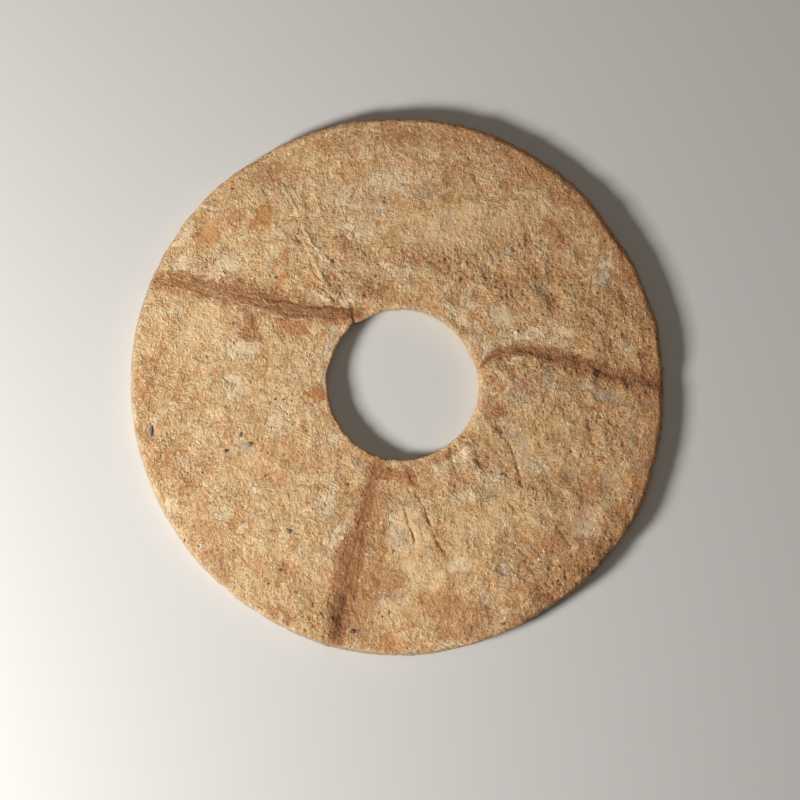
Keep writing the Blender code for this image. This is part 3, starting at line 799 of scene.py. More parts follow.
def section(turn):
    """The nine stretches of the section at each bearing. Each is radius, height and the two parts of its outward
    normal, as grids with one row for each ring and one column for each bearing."""
    share = {name: np.arange(rows)[:, None] / rows + 0 * turn for name, rows in ROWS.items()}
    shoulder, lip, top = rounded_size(turn, "shoulder"), rounded_size(turn, "lip"), thickness
    face_start, face_end = inner + lip, outer - shoulder
    part_way = face_start + (face_end - face_start) * INNER_PART
    return {
        "bore foot": bend(inner + BORE_FOOT, BORE_FOOT, BORE_FOOT, 270, share["bore foot"]),
        "bore wall": straight((inner, BORE_FOOT), (inner, top - LIP_FLATNESS * lip), (-1, 0), share["bore wall"]),
        "lip": bend(inner + lip, top - LIP_FLATNESS * lip, lip, 180, share["lip"], LIP_FLATNESS),
        "inner face": straight((face_start, top), (part_way, top), (0, 1), share["inner face"]),
        "outer face": straight((part_way, top), (face_end, top), (0, 1), share["outer face"]),
        "shoulder": bend(outer - shoulder, top - shoulder, shoulder, 90, share["shoulder"]),
        "rim wall": straight((outer, top - shoulder), (outer, RIM_FOOT), (1, 0), share["rim wall"]),
        "rim foot": bend(outer - RIM_FOOT, RIM_FOOT, RIM_FOOT, 0, share["rim foot"]),
        "underside": straight((outer - RIM_FOOT, 0), (inner + BORE_FOOT, 0), (0, -1), share["underside"]),
    }


def plan_place(radius, turn):
    """Where a point of the section lies in plan: its own direction and radius, moved by as much as the bore's
    edge is moved at the bore, by as much as the rim's is at the rim, and by shares of both between."""
    share = (radius - inner) / (outer - inner)
    at_bore = np.interp(turn, bearings, bore_edge, period=2 * math.pi) - inner
    at_rim = np.interp(turn, bearings, rim_edge, period=2 * math.pi) - outer
    reach = radius + (1 - share) * at_bore + share * at_rim
    x = reach * np.cos(turn) + (1 - share) * bore_centre[0]
    y = reach * np.sin(turn) + (1 - share) * bore_centre[1]
    return x, y


# %% [markdown]
# ## The worn edges
#
# Handling and the soil wore the edges of the plate, so the true section above is eaten back along its normals:
# a little everywhere, more where the section turns, and in small nicks round the rim. Rubbed edges are paler,
# and paler still on the bore's lip where it faces the lamp, which is a painted highlight. Corners that the lamp
# lights take a grey tone, painted for that light, and the side of the rim away from the lamp is made browner,
# which is painted shade.

# %% How the edges are worn
# small chips knocked out of the rim: bearing, half the width and the depth in mm, or a crumb stuck to it
NICKS = ((122, 2.6, 0.34), (111, 1.3, 0.30), (105.5, 1.4, 0.24), (63, 1.5, 0.25), (51, 1.6, 0.25),
         (32.5, 1.4, 0.15), (4, 0.8, -0.40), (342, 1.5, 0.30), (318, 1.4, 0.30),
         (300, 1.5, 0.30), (245, 1, 0.28), (238.5, 1.4, 0.22), (229.5, 1.5, 0.36), (201, 1.2, 0.2))
# chips of the edges: depth in mm, size of their cells, chance, seed
EDGE_CHIPS = ((0.30, 4.2, 0.22, 130), (0.16, 1.8, 0.35, 140))
EDGE_ROLL = 0.11         # height of the edges' unevenness in mm
# a place worn back takes the dark of hollows: soil and painted shade
FULL_WEAR = 0.35         # a place worn back this far holds soil
BELOW = -0.5             # points whose normal dips lower than this are on the underside
# painted light: the lamp lies near this bearing, and the rim's corners facing it take a grey tone for that light
LAMP_SIDE_BEARING = 215         # bearing where the rim's corner is bared most
# painted highlight: the bore's lip is made paler most at this bearing, where it faces the lamp
BORE_LAMP_SIDE = 50           # bearing where the bore's lip is rubbed most


def nicks(turn):
    """How deep the rim is nicked at each bearing, in mm, each nick being a smooth bump."""
    total = 0 * turn
    for bearing, half_width, depth in NICKS:
        off = (np.degrees(turn) - bearing + 180) % 360 - 180
        total += depth * (1 - np.clip(np.radians(np.abs(off)) * outer / half_width, 0, 1) ** 2) ** 2
    return total


def edge_wear(points, up):
    """How far walls and rounded edges are eaten away along their normal, in mm: rolling unevenness, and chips
    of several sizes, which are deepest where the section turns. The face isn't, and the foot only a little."""
    turning = 1 - np.abs(2 * np.clip(up, 0, 1) - 1)
    chips = sum(depth * hollows(points, cell, chance, seed) for depth, cell, chance, seed in EDGE_CHIPS)
    away = EDGE_ROLL * cloudy(points, 5.0, 4, 150, 0.65) + chips * (0.35 + 0.65 * turning)
    away = away * (1 - np.clip(up, 0, 1) ** 4)
    return np.where(up < 0, np.clip(away, 0, None) * (1 + up * 0.6), away)


def facing(ray, bearing):
    """How far each ray from the centre points towards a bearing: 1 at it, 0 away from it."""
    return 0.5 + 0.5 * (ray[0] * math.cos(math.radians(bearing)) + ray[1] * math.sin(math.radians(bearing)))


def edge_masks(masks, around, up, ray, away):
    """Adds what only edges have: rubbed edges with a painted highlight on the bore's lip where it faces the lamp,
    a grey tone painted on corners that the lamp lights, painted shade on the rim's side away from the lamp, laid
    into the rim's stain mask, and soil and painted shade where an edge is worn back. The underside is plainer than
    the face."""
    above = (up > BELOW).astype(float)
    for name in ("crack", "ridge", "scratched", "rust", "ochre", "pale"):
        masks[name] = masks[name] * above
    masks["soil"] = masks["soil"] * (0.4 + 0.6 * above)
    masks["edge"] = 1 - np.clip(np.abs(up), 0, 1) ** 2
    rim_side = eased(around, 0.6 * outer, 0.7 * outer)
    bore_side = 1 - rim_side
    upper_side = facing(ray, BORE_LAMP_SIDE)
    # edges are paler where rubbed, and the bore's lip has a painted highlight where it faces the lamp
    masks["rubbed_and_painted_highlight"] = masks["edge"] * (0.3 * rim_side + bore_side * (0.3 + 0.6 * upper_side))
    # painted light: corners that face the lamp, on the rim and on the bore's lip, take a grey tone for the light
    # on them
    corner = eased(masks["edge"], 0.05, 0.35) * eased(up, 0.05, 0.45)
    lit = eased(facing(ray, LAMP_SIDE_BEARING), 0.55, 0.85)
    masks["painted_lit_corner"] = corner * (rim_side * lit + 0.9 * bore_side * eased(upper_side, 0.5, 0.9))
    # painted shade: the rim is made browner on its right and upper sides, away from the lamp, through the mask of
    # brown stains
    left_side = 0.5 - 0.5 * ray[0]
    painted_rim_shade = 0.95 * eased(1 - left_side, 0.5, 0.9) + 0.35 * eased(ray[1], 0.2, 1.0)
    by_rim = eased(around, 0.87 * outer, outer)
    masks["brown_stain_and_painted_shade"] = np.maximum(masks["brown_stain_and_painted_shade"], np.clip(by_rim * painted_rim_shade, 0, 1))
    masks["hollow_soil_and_shade"] = np.maximum(masks["hollow_soil_and_shade"], np.clip(away / FULL_WEAR, 0, 1))
    return masks


print("deepest nick in mm:", nicks(bearings).max().round(2))


# %% The worn surface
def surface(turn, names):
    """Points of the worn surface, in mm, and masks, for the named stretches at the given bearings."""
    stretches = section(turn)
    radius, height, out, up = [np.concatenate([stretches[name][k] for name in names]) for k in range(4)]
    x, y = plan_place(radius, turn)
    true = np.stack([x, y, height], axis=-1).reshape(-1, 3)
    turns, out, up = (turn + 0 * x).ravel(), out.ravel(), up.ravel()
    around = np.hypot(true[:, 0], true[:, 1])
    ray = np.cos(turns), np.sin(turns)
    relief, masks = skin(true)
    nicked = nicks(turns) * eased(around, 0.87 * outer, outer) ** 3
    away = edge_wear(true, up) + nicked * np.clip(1 - up, 0, 1) * (up > BELOW)
    worn = true - away[:, None] * np.stack([out * ray[0], out * ray[1], up], axis=-1)
    worn[:, 2] += relief * np.clip(true[:, 2] / thickness, 0, 1) ** 2 * (up > BELOW)
    return worn, edge_masks(masks, around, up, ray, away), radius.shape[0]


COARSE = ("bore foot", "bore wall", "lip", "inner face")
FINE = ("outer face", "shoulder", "rim wall", "rim foot")
parts = [surface(bearings[::2], COARSE), surface(bearings, FINE), surface(bearings[::2], ("underside",))]
disc_points = np.concatenate([part[0] for part in parts])
disc_masks = {name: np.concatenate([part[1][name] for part in parts]) for name in parts[0][1]}
print("points:", len(disc_points), "top and bottom in mm:", disc_points[:, 2].max().round(3),
      disc_points[:, 2].min().round(3))
print("masks, share over one half:", {name: round(float((m > 0.5).mean()), 3) for name, m in disc_masks.items()})

# %% [markdown]
# ## From grid to mesh
#
# Between two rings with the same number of points lie four-sided faces. Between a ring and one with twice as
# many, each step of the coarse ring takes three triangles. The faces are written as whole arrays, and the last
# ring closes onto the first, so the mesh has no open edge.

# %% From grid to mesh
def band(first, second, count):
    """Four-sided faces between two rings of count points that start at the numbers first and second."""
    here = np.arange(count)
    after = (here + 1) % count
    return np.stack([first + here, second + here, second + after, first + after], axis=-1)


def widening(coarse, fine, count):
    """Triangles from a ring of count points out to one of twice as many."""
    here = np.arange(count)
    after = (here + 1) % count
    low, mid, high = fine + 2 * here, fine + 2 * here + 1, fine + 2 * after
    fans = ((coarse + here, low, mid), (coarse + here, mid, coarse + after), (coarse + after, mid, high))
    return np.concatenate([np.stack(fan, axis=-1) for fan in fans])


def narrowing(fine, coarse, count):
    """Triangles from a ring of twice count points on to one of count points."""
    return widening(coarse, fine, count)[:, ::-1]


def mesh_of(name, points, face_sets):
    """A smooth mesh from points in mm and sets of faces, each an array with one face to a row."""
    mesh = bpy.data.meshes.new(name)
    around_faces = np.concatenate([faces.ravel() for faces in face_sets])
    sizes = np.concatenate([np.full(len(faces), faces.shape[1]) for faces in face_sets])
    mesh.vertices.add(len(points))
    mesh.vertices.foreach_set("co", (points * MM).astype(np.float32).ravel())
    mesh.loops.add(len(around_faces))
    mesh.loops.foreach_set("vertex_index", around_faces.astype(np.int32))
    mesh.polygons.add(len(sizes))
    mesh.polygons.foreach_set("loop_start", (np.cumsum(sizes) - sizes).astype(np.int32))
    mesh.update(calc_edges=True)
    mesh.validate()
    mesh.shade_smooth()
    return mesh


def carry_masks(mesh, masks):
    """Keeps each mask on the mesh as an attribute, one number to a vertex, for the material to read."""
    for name, mask in masks.items():
        attribute = mesh.attributes.new(name, "FLOAT", "POINT")
        attribute.data.foreach_set("value", mask.astype(np.float32))


half = COLUMNS // 2
coarse_rings, fine_rings, under_rings = [part[2] for part in parts]
ring_counts = [half] * coarse_rings + [COLUMNS] * fine_rings + [half] * under_rings
ring_starts = np.cumsum(ring_counts) - ring_counts
upper, lower = [], []
for ring, (start, count) in enumerate(zip(ring_starts, ring_counts)):
    after = (ring + 1) % len(ring_starts)
    side = lower if ring >= coarse_rings + fine_rings else upper
    if ring_counts[after] == count:
        side.append(band(start, ring_starts[after], count))
    elif ring_counts[after] > count:
        side.append(widening(start, ring_starts[after], count))
    else:
        side.append(narrowing(start, ring_starts[after], ring_counts[after]))
disc_mesh = mesh_of("bi_disc_surface", disc_points, upper + lower)
carry_masks(disc_mesh, disc_masks)
disc_mesh.calc_loop_triangles()
print("rings:", len(ring_starts), "triangles:", len(disc_mesh.loop_triangles))

# %% [markdown]
# ## A flat layout for the finish
#
# When the finish is kept as flat images, each face needs its own patch of a square. The disc suits a layout of
# two rings: seen from above, the bore wall, the face and the rim wall open out like a flower into one large
# ring, and the underside is a smaller ring in the corner that is left.

# %% A flat layout for the finish
UPPER_RING = (0.405, 0.405, 0.400)      # middle of the ring in the square, and its outer radius
LOWER_RING = (0.850, 0.850, 0.140)


def ring_layout(points):
    """Place of each point in the large ring: its own bearing, and a radius that grows along the section by the
    same length as the section itself."""
    means = [np.array([np.hypot(*points[s:s + n, :2].T).mean(), points[s:s + n, 2].mean()])
             for s, n in zip(ring_starts, ring_counts)]
    steps = np.hypot(*np.diff(means, axis=0).T)
    travelled = np.concatenate([[0], np.cumsum(steps)]) + inner - thickness
    last = travelled[coarse_rings + fine_rings]
    radius = np.repeat(travelled / last, ring_counts)
    turn = np.concatenate([np.arange(count) * 2 * math.pi / count for count in ring_counts])
    x, y, size = UPPER_RING
    return np.stack([x + size * radius * np.cos(turn), y + size * radius * np.sin(turn)], axis=-1)


def lay_out(mesh, upper_places, lower_places, upper_faces):
    """Writes the layout to the mesh: corners of upper faces take the first places, the rest take the others."""
    corner = np.empty(len(mesh.loops), np.int32)
    mesh.loops.foreach_get("vertex_index", corner)
    corners_above = sum(faces.size for faces in upper_faces)
    places = np.where(np.arange(len(corner))[:, None] < corners_above, upper_places[corner], lower_places[corner])
    layout = mesh.uv_layers.new(name="OFBake")
    layout.data.foreach_set("uv", places.astype(np.float32).ravel())


below = np.array(LOWER_RING[:2]) + disc_points[:, :2] * LOWER_RING[2] / outer
lay_out(disc_mesh, ring_layout(disc_points), below, upper)
print("layout spans", [round(float(v), 3) for v in (ring_layout(disc_points)[:, 0].max(), below.max())])

# %% [markdown]
# ## Tools for materials
#
# A material is a small network of nodes. These helpers add one node at a time, so that a recipe below reads
# like a list: what goes in, what is set, and which output comes out. A group is a network that several
# materials share, with named sockets.

# %% Tools for materials
PER_MM = 1 / MM          # a texture's scale that makes its hills 1 mm wide


def filled(tree, made, inputs):
    """Fills a node's inputs, by socket name or number, with values or with other nodes' outputs."""
    for key, value in inputs.items():
        if isinstance(value, bpy.types.NodeSocket):
            tree.links.new(value, made.inputs[key])
        else:
            made.inputs[key].default_value = value
    return made


def node(tree, kind, inputs=(), **settings):
    """Adds a node of a kind, with its settings and inputs."""
    made = tree.nodes.new("ShaderNode" + kind)
    for name, value in settings.items():
        setattr(made, name, value)
    return filled(tree, made, dict(inputs))


def maths(tree, operation, first, second=0.0, clamp=False):
    """One sum on two numbers."""
    return node(tree, "Math", {0: first, 1: second}, operation=operation, use_clamp=clamp).outputs[0]


def times(tree, first, second, clamp=False):
    """Two numbers multiplied."""
    return maths(tree, "MULTIPLY", first, second, clamp)


def plus(tree, first, second, clamp=False):
    """Two numbers added."""
    return maths(tree, "ADD", first, second, clamp)


def less(tree, first, second):
    """The second number taken from the first."""
    return maths(tree, "SUBTRACT", first, second)


def blended(tree, factor, first, second):
    """One colour laid over another by a factor from 0 to 1."""
    return node(tree, "Mix", {0: factor, 6: first, 7: second}, data_type="RGBA", blend_type="MIX").outputs[2]


def spread(tree, value, low, high, to_low=0.0, to_high=1.0):
    """A value stretched from one range to another, and held at the ends."""
    inputs = {"Value": value, "From Min": low, "From Max": high, "To Min": to_low, "To Max": to_high}
    return node(tree, "MapRange", inputs, clamp=True).outputs[0]


# %% Textures that the groups are made of
def clouds(tree, vector, scale, detail, roughness=0.5, distortion=0.0):
    """Hills of noise with finer hills on them."""
    inputs = {"Vector": vector, "Scale": scale, "Detail": detail, "Roughness": roughness}
    return node(tree, "TexNoise", {**inputs, "Distortion": distortion}).outputs


def leaning(tree, value, amount):
    """How far a noise is from its middle, times an amount."""
    return times(tree, less(tree, value, 0.5), amount)


def shaken(tree, vector, scale, noise_colour, amount):
    """Coordinates scaled, then moved about by the colour of a noise, by up to the amount."""
    scaled = node(tree, "VectorMath", {0: vector, "Scale": scale}, operation="SCALE").outputs[0]
    inputs = {0: noise_colour, 1: (amount, amount, amount), 2: scaled}
    return node(tree, "VectorMath", inputs, operation="MULTIPLY_ADD").outputs[0]


def cells(tree, vector, **settings):
    """Space parted into cells about one unit wide. The colour of each is three numbers of chance."""
    return node(tree, "TexVoronoi", {"Vector": vector, "Scale": 1.0, "Randomness": 1.0}, **settings).outputs


def chances(tree, found):
    """The numbers of chance of the cells that were found."""
    return node(tree, "SeparateColor", {0: found["Color"]}).outputs


# %% Tools for groups
def new_group(name, takes, gives):
    """An empty group, its inputs and its outputs. Takes gives each input its value: none for a vector, a number,
    or a colour. Of the outputs that gives names, Color is a colour and the others are numbers."""
    group = bpy.data.node_groups.new(name, "ShaderNodeTree")
    for label, value in takes.items():
        kind = "Vector" if value is None else "Color" if isinstance(value, tuple) else "Float"
        socket = group.interface.new_socket(label, in_out="INPUT", socket_type="NodeSocket" + kind)
        if value is not None:
            socket.default_value = value
    for label in gives:
        kind = "Color" if label == "Color" else "Float"
        group.interface.new_socket(label, in_out="OUTPUT", socket_type="NodeSocket" + kind)
    return group, group.nodes.new("NodeGroupInput").outputs, group.nodes.new("NodeGroupOutput").inputs


def given_out(group, result, outputs):
    """Links what a group worked out to its outputs, and hands back the group."""
    for label, socket in outputs.items():
        group.links.new(socket, result[label])
    return group


def placed(tree, group, inputs):
    """A group placed in a material with its own values."""
    return filled(tree, node(tree, "Group", node_tree=group), inputs).outputs


def started(name, roughness):
    """A new material with its shader, its object coordinates and a plain roughness."""
    material = bpy.data.materials.new(name)
    material.use_nodes = True
    tree = material.node_tree
    shader = tree.nodes["Principled BSDF"]
    shader.inputs["Roughness"].default_value = roughness
    return material, tree, shader, node(tree, "TexCoord").outputs["Object"]


# %% [markdown]
# ## Groups for colours and stains
#
# *Mottle* gives a colour that wanders between dark, middle and light in clouds within clouds, and can be lifted
# or lowered from outside. *Ragged mask* takes the smooth mask of a stain and breaks its edge into flecks.
# *Specks* strews small dots, of which a share shows.

# %% Groups for colours and stains
def mottle_group():
    """Tone: a half, the lift, and five times the contrast times how far the noise leans, added up."""
    takes = {"Vector": None, "Size": 100.0, "Contrast": 1.0, "Lift": 0.0, "Dark": (0.2, 0.1, 0.05, 1),
             "Middle": (0.5, 0.3, 0.15, 1), "Light": (0.7, 0.5, 0.3, 1)}
    group, given, result = new_group("mottle", takes, ("Color", "Tone"))
    hills = clouds(group, given["Vector"], given["Size"], 5.0, 0.75)
    lean = leaning(group, hills[0], given["Contrast"])
    tone = plus(group, plus(group, times(group, lean, 5.0), given["Lift"]), 0.5, clamp=True)
    dim = blended(group, spread(group, tone, 0.0, 0.5), given["Dark"], given["Middle"])
    bright = blended(group, spread(group, tone, 0.5, 1.0), dim, given["Light"])
    return given_out(group, result, {"Color": bright, "Tone": tone})


def ragged_group():
    """The mask plus three times the noise's lean, less a half, times the hardness, plus a half. Nothing shows
    where the mask itself is near 0."""
    takes = {"Vector": None, "Mask": 0.0, "Size": 1000.0, "Ragged": 1.0, "Hardness": 3.0}
    group, given, result = new_group("ragged mask", takes, ("Mask",))
    flecks = clouds(group, given["Vector"], given["Size"], 4.0, 0.7)
    lean = leaning(group, flecks[0], given["Ragged"])
    edge = less(group, plus(group, given["Mask"], times(group, lean, 3.0)), 0.5)
    sharp = plus(group, times(group, edge, given["Hardness"]), 0.5, clamp=True)
    present = spread(group, given["Mask"], 0.02, 0.2)
    return given_out(group, result, {"Mask": times(group, sharp, present)})


def specks_group():
    """A dot in each cell whose number of chance is under the share. It fades out at its own radius."""
    takes = {"Vector": None, "Size": 1000.0, "Share": 0.3, "Radius": 0.35}
    group, given, result = new_group("specks", takes, ("Specks",))
    shake = clouds(group, given["Vector"], times(group, given["Size"], 1.7), 1.0)
    dots = cells(group, shaken(group, given["Vector"], given["Size"], shake["Color"], 0.9))
    chance = chances(group, dots)
    chosen = maths(group, "LESS_THAN", chance[0], given["Share"])
    reach = times(group, given["Radius"], spread(group, chance[1], 0.0, 1.0, 0.5, 1.3))
    near = spread(group, maths(group, "DIVIDE", dots["Distance"], reach), 0.6, 1.1, 1.0, 0.0)
    return given_out(group, result, {"Specks": times(group, near, chosen)})


mottle, ragged_mask, specks = mottle_group(), ragged_group(), specks_group()
print("groups:", [group.name for group in bpy.data.node_groups])

# %% [markdown]
# ## Groups for the broken skin
#
# *Chalky grain* gives a fine height for the bump and the pits between the grains. *Leaf edges* follows the level
# lines of a noise, as the skin comes off in leaves: it says which side of the line a point is on, and where the
# foot of the step runs. *Plates* parts the skin into small plates, each with its own number of chance, and says
# where the gaps between them lie.

# %% Groups for the broken skin
def grain_group():
    """Height: fine noise, less six tenths of the pits. Pits are dots, kept where the noise is high."""
    takes = {"Vector": None, "Size": 1500.0, "Pitting": 0.5}
    group, given, result = new_group("chalky grain", takes, ("Height", "Pits", "Grain"))
    fine = clouds(group, given["Vector"], given["Size"], 3.0, 0.75, 0.3)
    pores = cells(group, shaken(group, given["Vector"], times(group, given["Size"], 0.6), fine["Color"], 0.6))
    radius = spread(group, chances(group, pores)[0], 0.0, 1.0, 0.15, 0.55)
    deep = spread(group, maths(group, "DIVIDE", pores["Distance"], radius), 0.1, 1.0, 1.0, 0.0)
    held = spread(group, plus(group, fine[0], times(group, given["Pitting"], 0.14)), 0.50, 0.66)
    pits = times(group, deep, held)
    return given_out(group, result, {
        "Height": less(group, fine[0], times(group, pits, 0.6)),
        "Pits": pits,
        "Grain": spread(group, fine[0], 0.3, 0.7, -1.0, 1.0),
    })


def leaf_group():
    """A leaf lies where the noise is above the level, and its foot where the noise is just below it."""
    takes = {"Vector": None, "Size": 400.0, "Level": 0.5}
    group, given, result = new_group("leaf edges", takes, ("Leaf", "Edge"))
    hills = clouds(group, given["Vector"], given["Size"], 4.0, 0.6, 0.6)
    above = less(group, hills[0], given["Level"])
    foot = maths(group, "ABSOLUTE", plus(group, above, 0.012))
    return given_out(group, result, {
        "Leaf": spread(group, above, -0.012, 0.012),
        "Edge": spread(group, foot, 0.0, 0.022, 1.0, 0.0),
    })


def plates_group():
    """Cells of shaken space. A gap shows where the distance to a cell's edge is less than the gap's width."""
    takes = {"Vector": None, "Size": 500.0, "Gap": 0.1}
    group, given, result = new_group("plates", takes, ("Plate", "Gaps"))
    shake = clouds(group, given["Vector"], times(group, given["Size"], 0.8), 3.0, 0.65)
    place = shaken(group, given["Vector"], given["Size"], shake["Color"], 2.6)
    chance = chances(group, cells(group, place))
    edges = cells(group, place, feature="DISTANCE_TO_EDGE")
    parted = spread(group, shake[0], 0.42, 0.6)
    gaps = spread(group, maths(group, "DIVIDE", edges["Distance"], given["Gap"]), 0.0, 1.0, 1.0, 0.0)
    return given_out(group, result, {"Plate": chance[0], "Gaps": times(group, gaps, parted)})


chalky_grain, leaf_edges, plates = grain_group(), leaf_group(), plates_group()
print("groups:", [group.name for group in bpy.data.node_groups])

# %% [markdown]
# ## Groups for creases and lines
#
# *Streaks* are threads that follow a crease, from the distances along and beside it. *Thin line* draws a line's
# section from the distance beside it.

# %% Groups for creases and lines
def streaks_group():
    """Noise, looked up at the run over the length and the distance beside over the width."""
    takes = {"Run": 0.0, "Left": 0.0, "Length": 6.0, "Width": 0.4}
    group, given, result = new_group("streaks", takes, ("Streaks",))
    along = maths(group, "DIVIDE", given["Run"], given["Length"])
    across = maths(group, "DIVIDE", given["Left"], given["Width"])
    place = node(group, "CombineXYZ", {0: along, 1: across, 2: 0.0}).outputs[0]
    threads = clouds(group, place, 1.0, 3.0, 0.6)
    return given_out(group, result, {"Streaks": spread(group, threads[0], 0.3, 0.7)})


def line_group():
    """The strength times a section that falls from 1 on the line to 0 at its width. Crumbs of noise shift it."""
    takes = {"Vector": None, "Left": 9.0, "Strength": 0.0, "Width": 0.6, "Size": 1200.0}
    group, given, result = new_group("thin line", takes, ("Line",))
    crumbs = clouds(group, given["Vector"], given["Size"], 2.0, 0.6)
    off = maths(group, "ABSOLUTE", plus(group, given["Left"], leaning(group, crumbs[0], 2.4)))
    section = spread(group, maths(group, "DIVIDE", off, given["Width"]), 0.0, 1.0, 1.0, 0.0)
    return given_out(group, result, {"Line": times(group, section, given["Strength"], clamp=True)})


streaks, thin_line = streaks_group(), line_group()
print("groups:", [group.name for group in bpy.data.node_groups])

# %% [markdown]
# ## The tones of the weathered skin
#
# The skin starts as a mottled tan, painted lighter on its crests and grain tops and browner in its dips, which is
# painted light and shade on the relief, and painted lighter on the left, towards the lamp. Over it the stains are
# laid one by one, each with its own tones, in the order in which they formed: thin grey glass, pale lime, ochre
# and brown iron, and last the soil in creases, cracks and pits, whose dark is partly painted shade. The tones come
# first, in a few lists.

# %% The tones of the weathered skin
TAN = {"Dark": paint(198, 143, 87), "Middle": paint(220, 178, 126), "Light": paint(231, 200, 153)}
CLOUD_SIZE, CLOUD_CONTRAST = 9, 0.30    # the clouds of the tan, in mm
STAIN_CLOUD_SIZE = 3                    # the clouds inside a stain, in mm
# painted light: crests and grain tops are made lighter, and so is the left side, towards the lamp
CREST_PAINTED_LIGHT, GRAIN_PAINTED_HIGHLIGHT, LEFT_PAINTED_LIGHT = 0.5, 0.30, 0.12    # how much lighter crests, grains and the left side are
# patches of the ground colour: colour, size in mm, how common where the ground is dark and light, strength
PATCHES = (
    (paint(192, 130, 76), 3.2, 0.44, 0.14, 0.38),
    (paint(226, 204, 166), 2.4, 0.16, 0.42, 0.45),
    (paint(150, 96, 56), 0.7, 0.36, 0.12, 0.50),
)
# plates of the skin: the chance number at which a tone sets in and is full, the tone, strength
PLATE_TONES = (
    (0.60, 0.75, paint(228, 202, 156), 0.36),
    (0.30, 0.15, paint(188, 132, 80), 0.22),
)
# stain: mask, dark tone, light tone, size of its flecks in mm, raggedness, hardness, strength
STAINS = (
    ("smooth", paint(208, 170, 121), paint(223, 191, 145), 2.0, 0.6, 1.5, 0.45),
    ("grey", paint(156, 130, 102), paint(194, 172, 145), 0.9, 1.1, 1.9, 0.74),
    ("pale", paint(208, 178, 137), paint(228, 204, 165), 1.4, 0.8, 2.6, 0.72),
    ("ochre", paint(178, 111, 51), paint(201, 139, 74), 1.2, 0.7, 2.5, 0.75),
    # brown stains, and the painted shade on the rim's side away from the lamp, which shares this mask
    ("brown_stain_and_painted_shade", paint(156, 98, 54), paint(184, 128, 80), 1.0, 1.1, 1.8, 0.70),
    ("rust", paint(148, 92, 53), paint(180, 121, 76), 1.6, 1.0, 4.0, 0.80),
)
# specks: size of the cells in mm, share that shows where the skin is smooth and rough, radius, colour, strength
SPECKS = (
    (0.8, 0.12, 0.20, 0.32, paint(140, 82, 38), 0.65),
    (1.9, 0.06, 0.08, 0.18, paint(96, 62, 40), 0.80),
    (0.55, 0.20, 0.42, 0.36, paint(236, 208, 164), 0.60),
)
SOIL = {"Dark": paint(134, 82, 46), "Middle": paint(186, 134, 88), "Light": paint(172, 111, 64)}
# every other tone, and how strongly it is laid on
TONES = {
    "coarse skin": (paint(206, 141, 80), 0.24),
    "gaps between plates": (paint(164, 98, 46), 0.5),
    # rubbed edges, and the painted highlight on the bore's lip
    "rubbed edge and painted highlight": (paint(222, 200, 164), 0.8),
    # soil in hollows, and painted shade there
    "hollow_soil_and_shade": (paint(156, 90, 40), 0.40),
    # soil between grains, and painted shade there
    "soil and painted shade in pits": (paint(138, 75, 28), 0.55),
    "dark scratch": (paint(140, 84, 44), 0.45),
    "pale scratch": (paint(232, 206, 162), 0.5),
    # a grey tone painted on corners that the lamp lights
    "painted lit corner": (paint(162, 149, 127), 0.85),
    "ridge": (paint(230, 206, 166), 0.8),
    "crack": (paint(108, 64, 34), 0.75),
}
LEAF_FOOT = paint(164, 104, 54)
print("stains in the order they are laid:", [stain[0] for stain in STAINS])


# %% Tools for laying on a tone
def attribute(tree, name):
    """A mask or distance that the mesh carries."""
    return node(tree, "Attribute", attribute_name=name).outputs["Fac"]


def flecked(tree, coords, mask, size, ragged, hardness):
    """A mask with its edge broken into flecks of a size in mm."""
    inputs = {"Vector": coords, "Mask": mask, "Size": PER_MM / size, "Ragged": ragged, "Hardness": hardness}
    return placed(tree, ragged_mask, inputs)["Mask"]


def over(tree, colour, mask, strength, tone):
    """A tone laid over a colour where a mask shows, as strongly as said."""
    return blended(tree, times(tree, mask, strength), colour, tone)


def laid(tree, colour, mask, name):
    """One of the listed tones laid over a colour where a mask shows."""
    tone, strength = TONES[name]
    return over(tree, colour, mask, strength, tone)


# %% [markdown]
# ## The ground of the skin, and how it breaks
#
# Under every stain lies the tan, with browner and creamier patches. Where the skin has crumbled it is darker. It
# comes off in leaves, whose steps have a dark foot, and in small plates, which differ a little in tone.

# %% The ground of the skin, and how it breaks
LEAF_SIZE, CHIP_SIZE, CHIP_LEVEL = 3.0, 1.6, 0.56    # in mm; chips lie higher on the noise, so they are rarer
PLATE_SIZE, PLATE_GAP = 1.5, 0.18


def tan_ground(tree, coords, grain):
    """The mottled tan with its patches, and the lift that the stains share: painted light and shade on crests,
    grain tops and dips, and painted light on the left side.
    """
    crest = less(tree, attribute(tree, "crest"), 0.5)
    lift = plus(tree, times(tree, crest, CREST_PAINTED_LIGHT), times(tree, grain["Grain"], GRAIN_PAINTED_HIGHLIGHT))
    lift = plus(tree, lift, times(tree, attribute(tree, "left_side_painted_light"), LEFT_PAINTED_LIGHT))
    ground_colour = placed(tree, mottle, {"Vector": coords, "Size": PER_MM / CLOUD_SIZE,
                                          "Contrast": CLOUD_CONTRAST, "Lift": lift, **TAN})
    colour = ground_colour["Color"]
    for tone, size, on_dark, on_light, strength in PATCHES:
        common = spread(tree, ground_colour["Tone"], 0.0, 1.0, on_dark, on_light)
        colour = over(tree, colour, flecked(tree, coords, common, size, 1.0, 3.0), strength, tone)
    return colour, lift


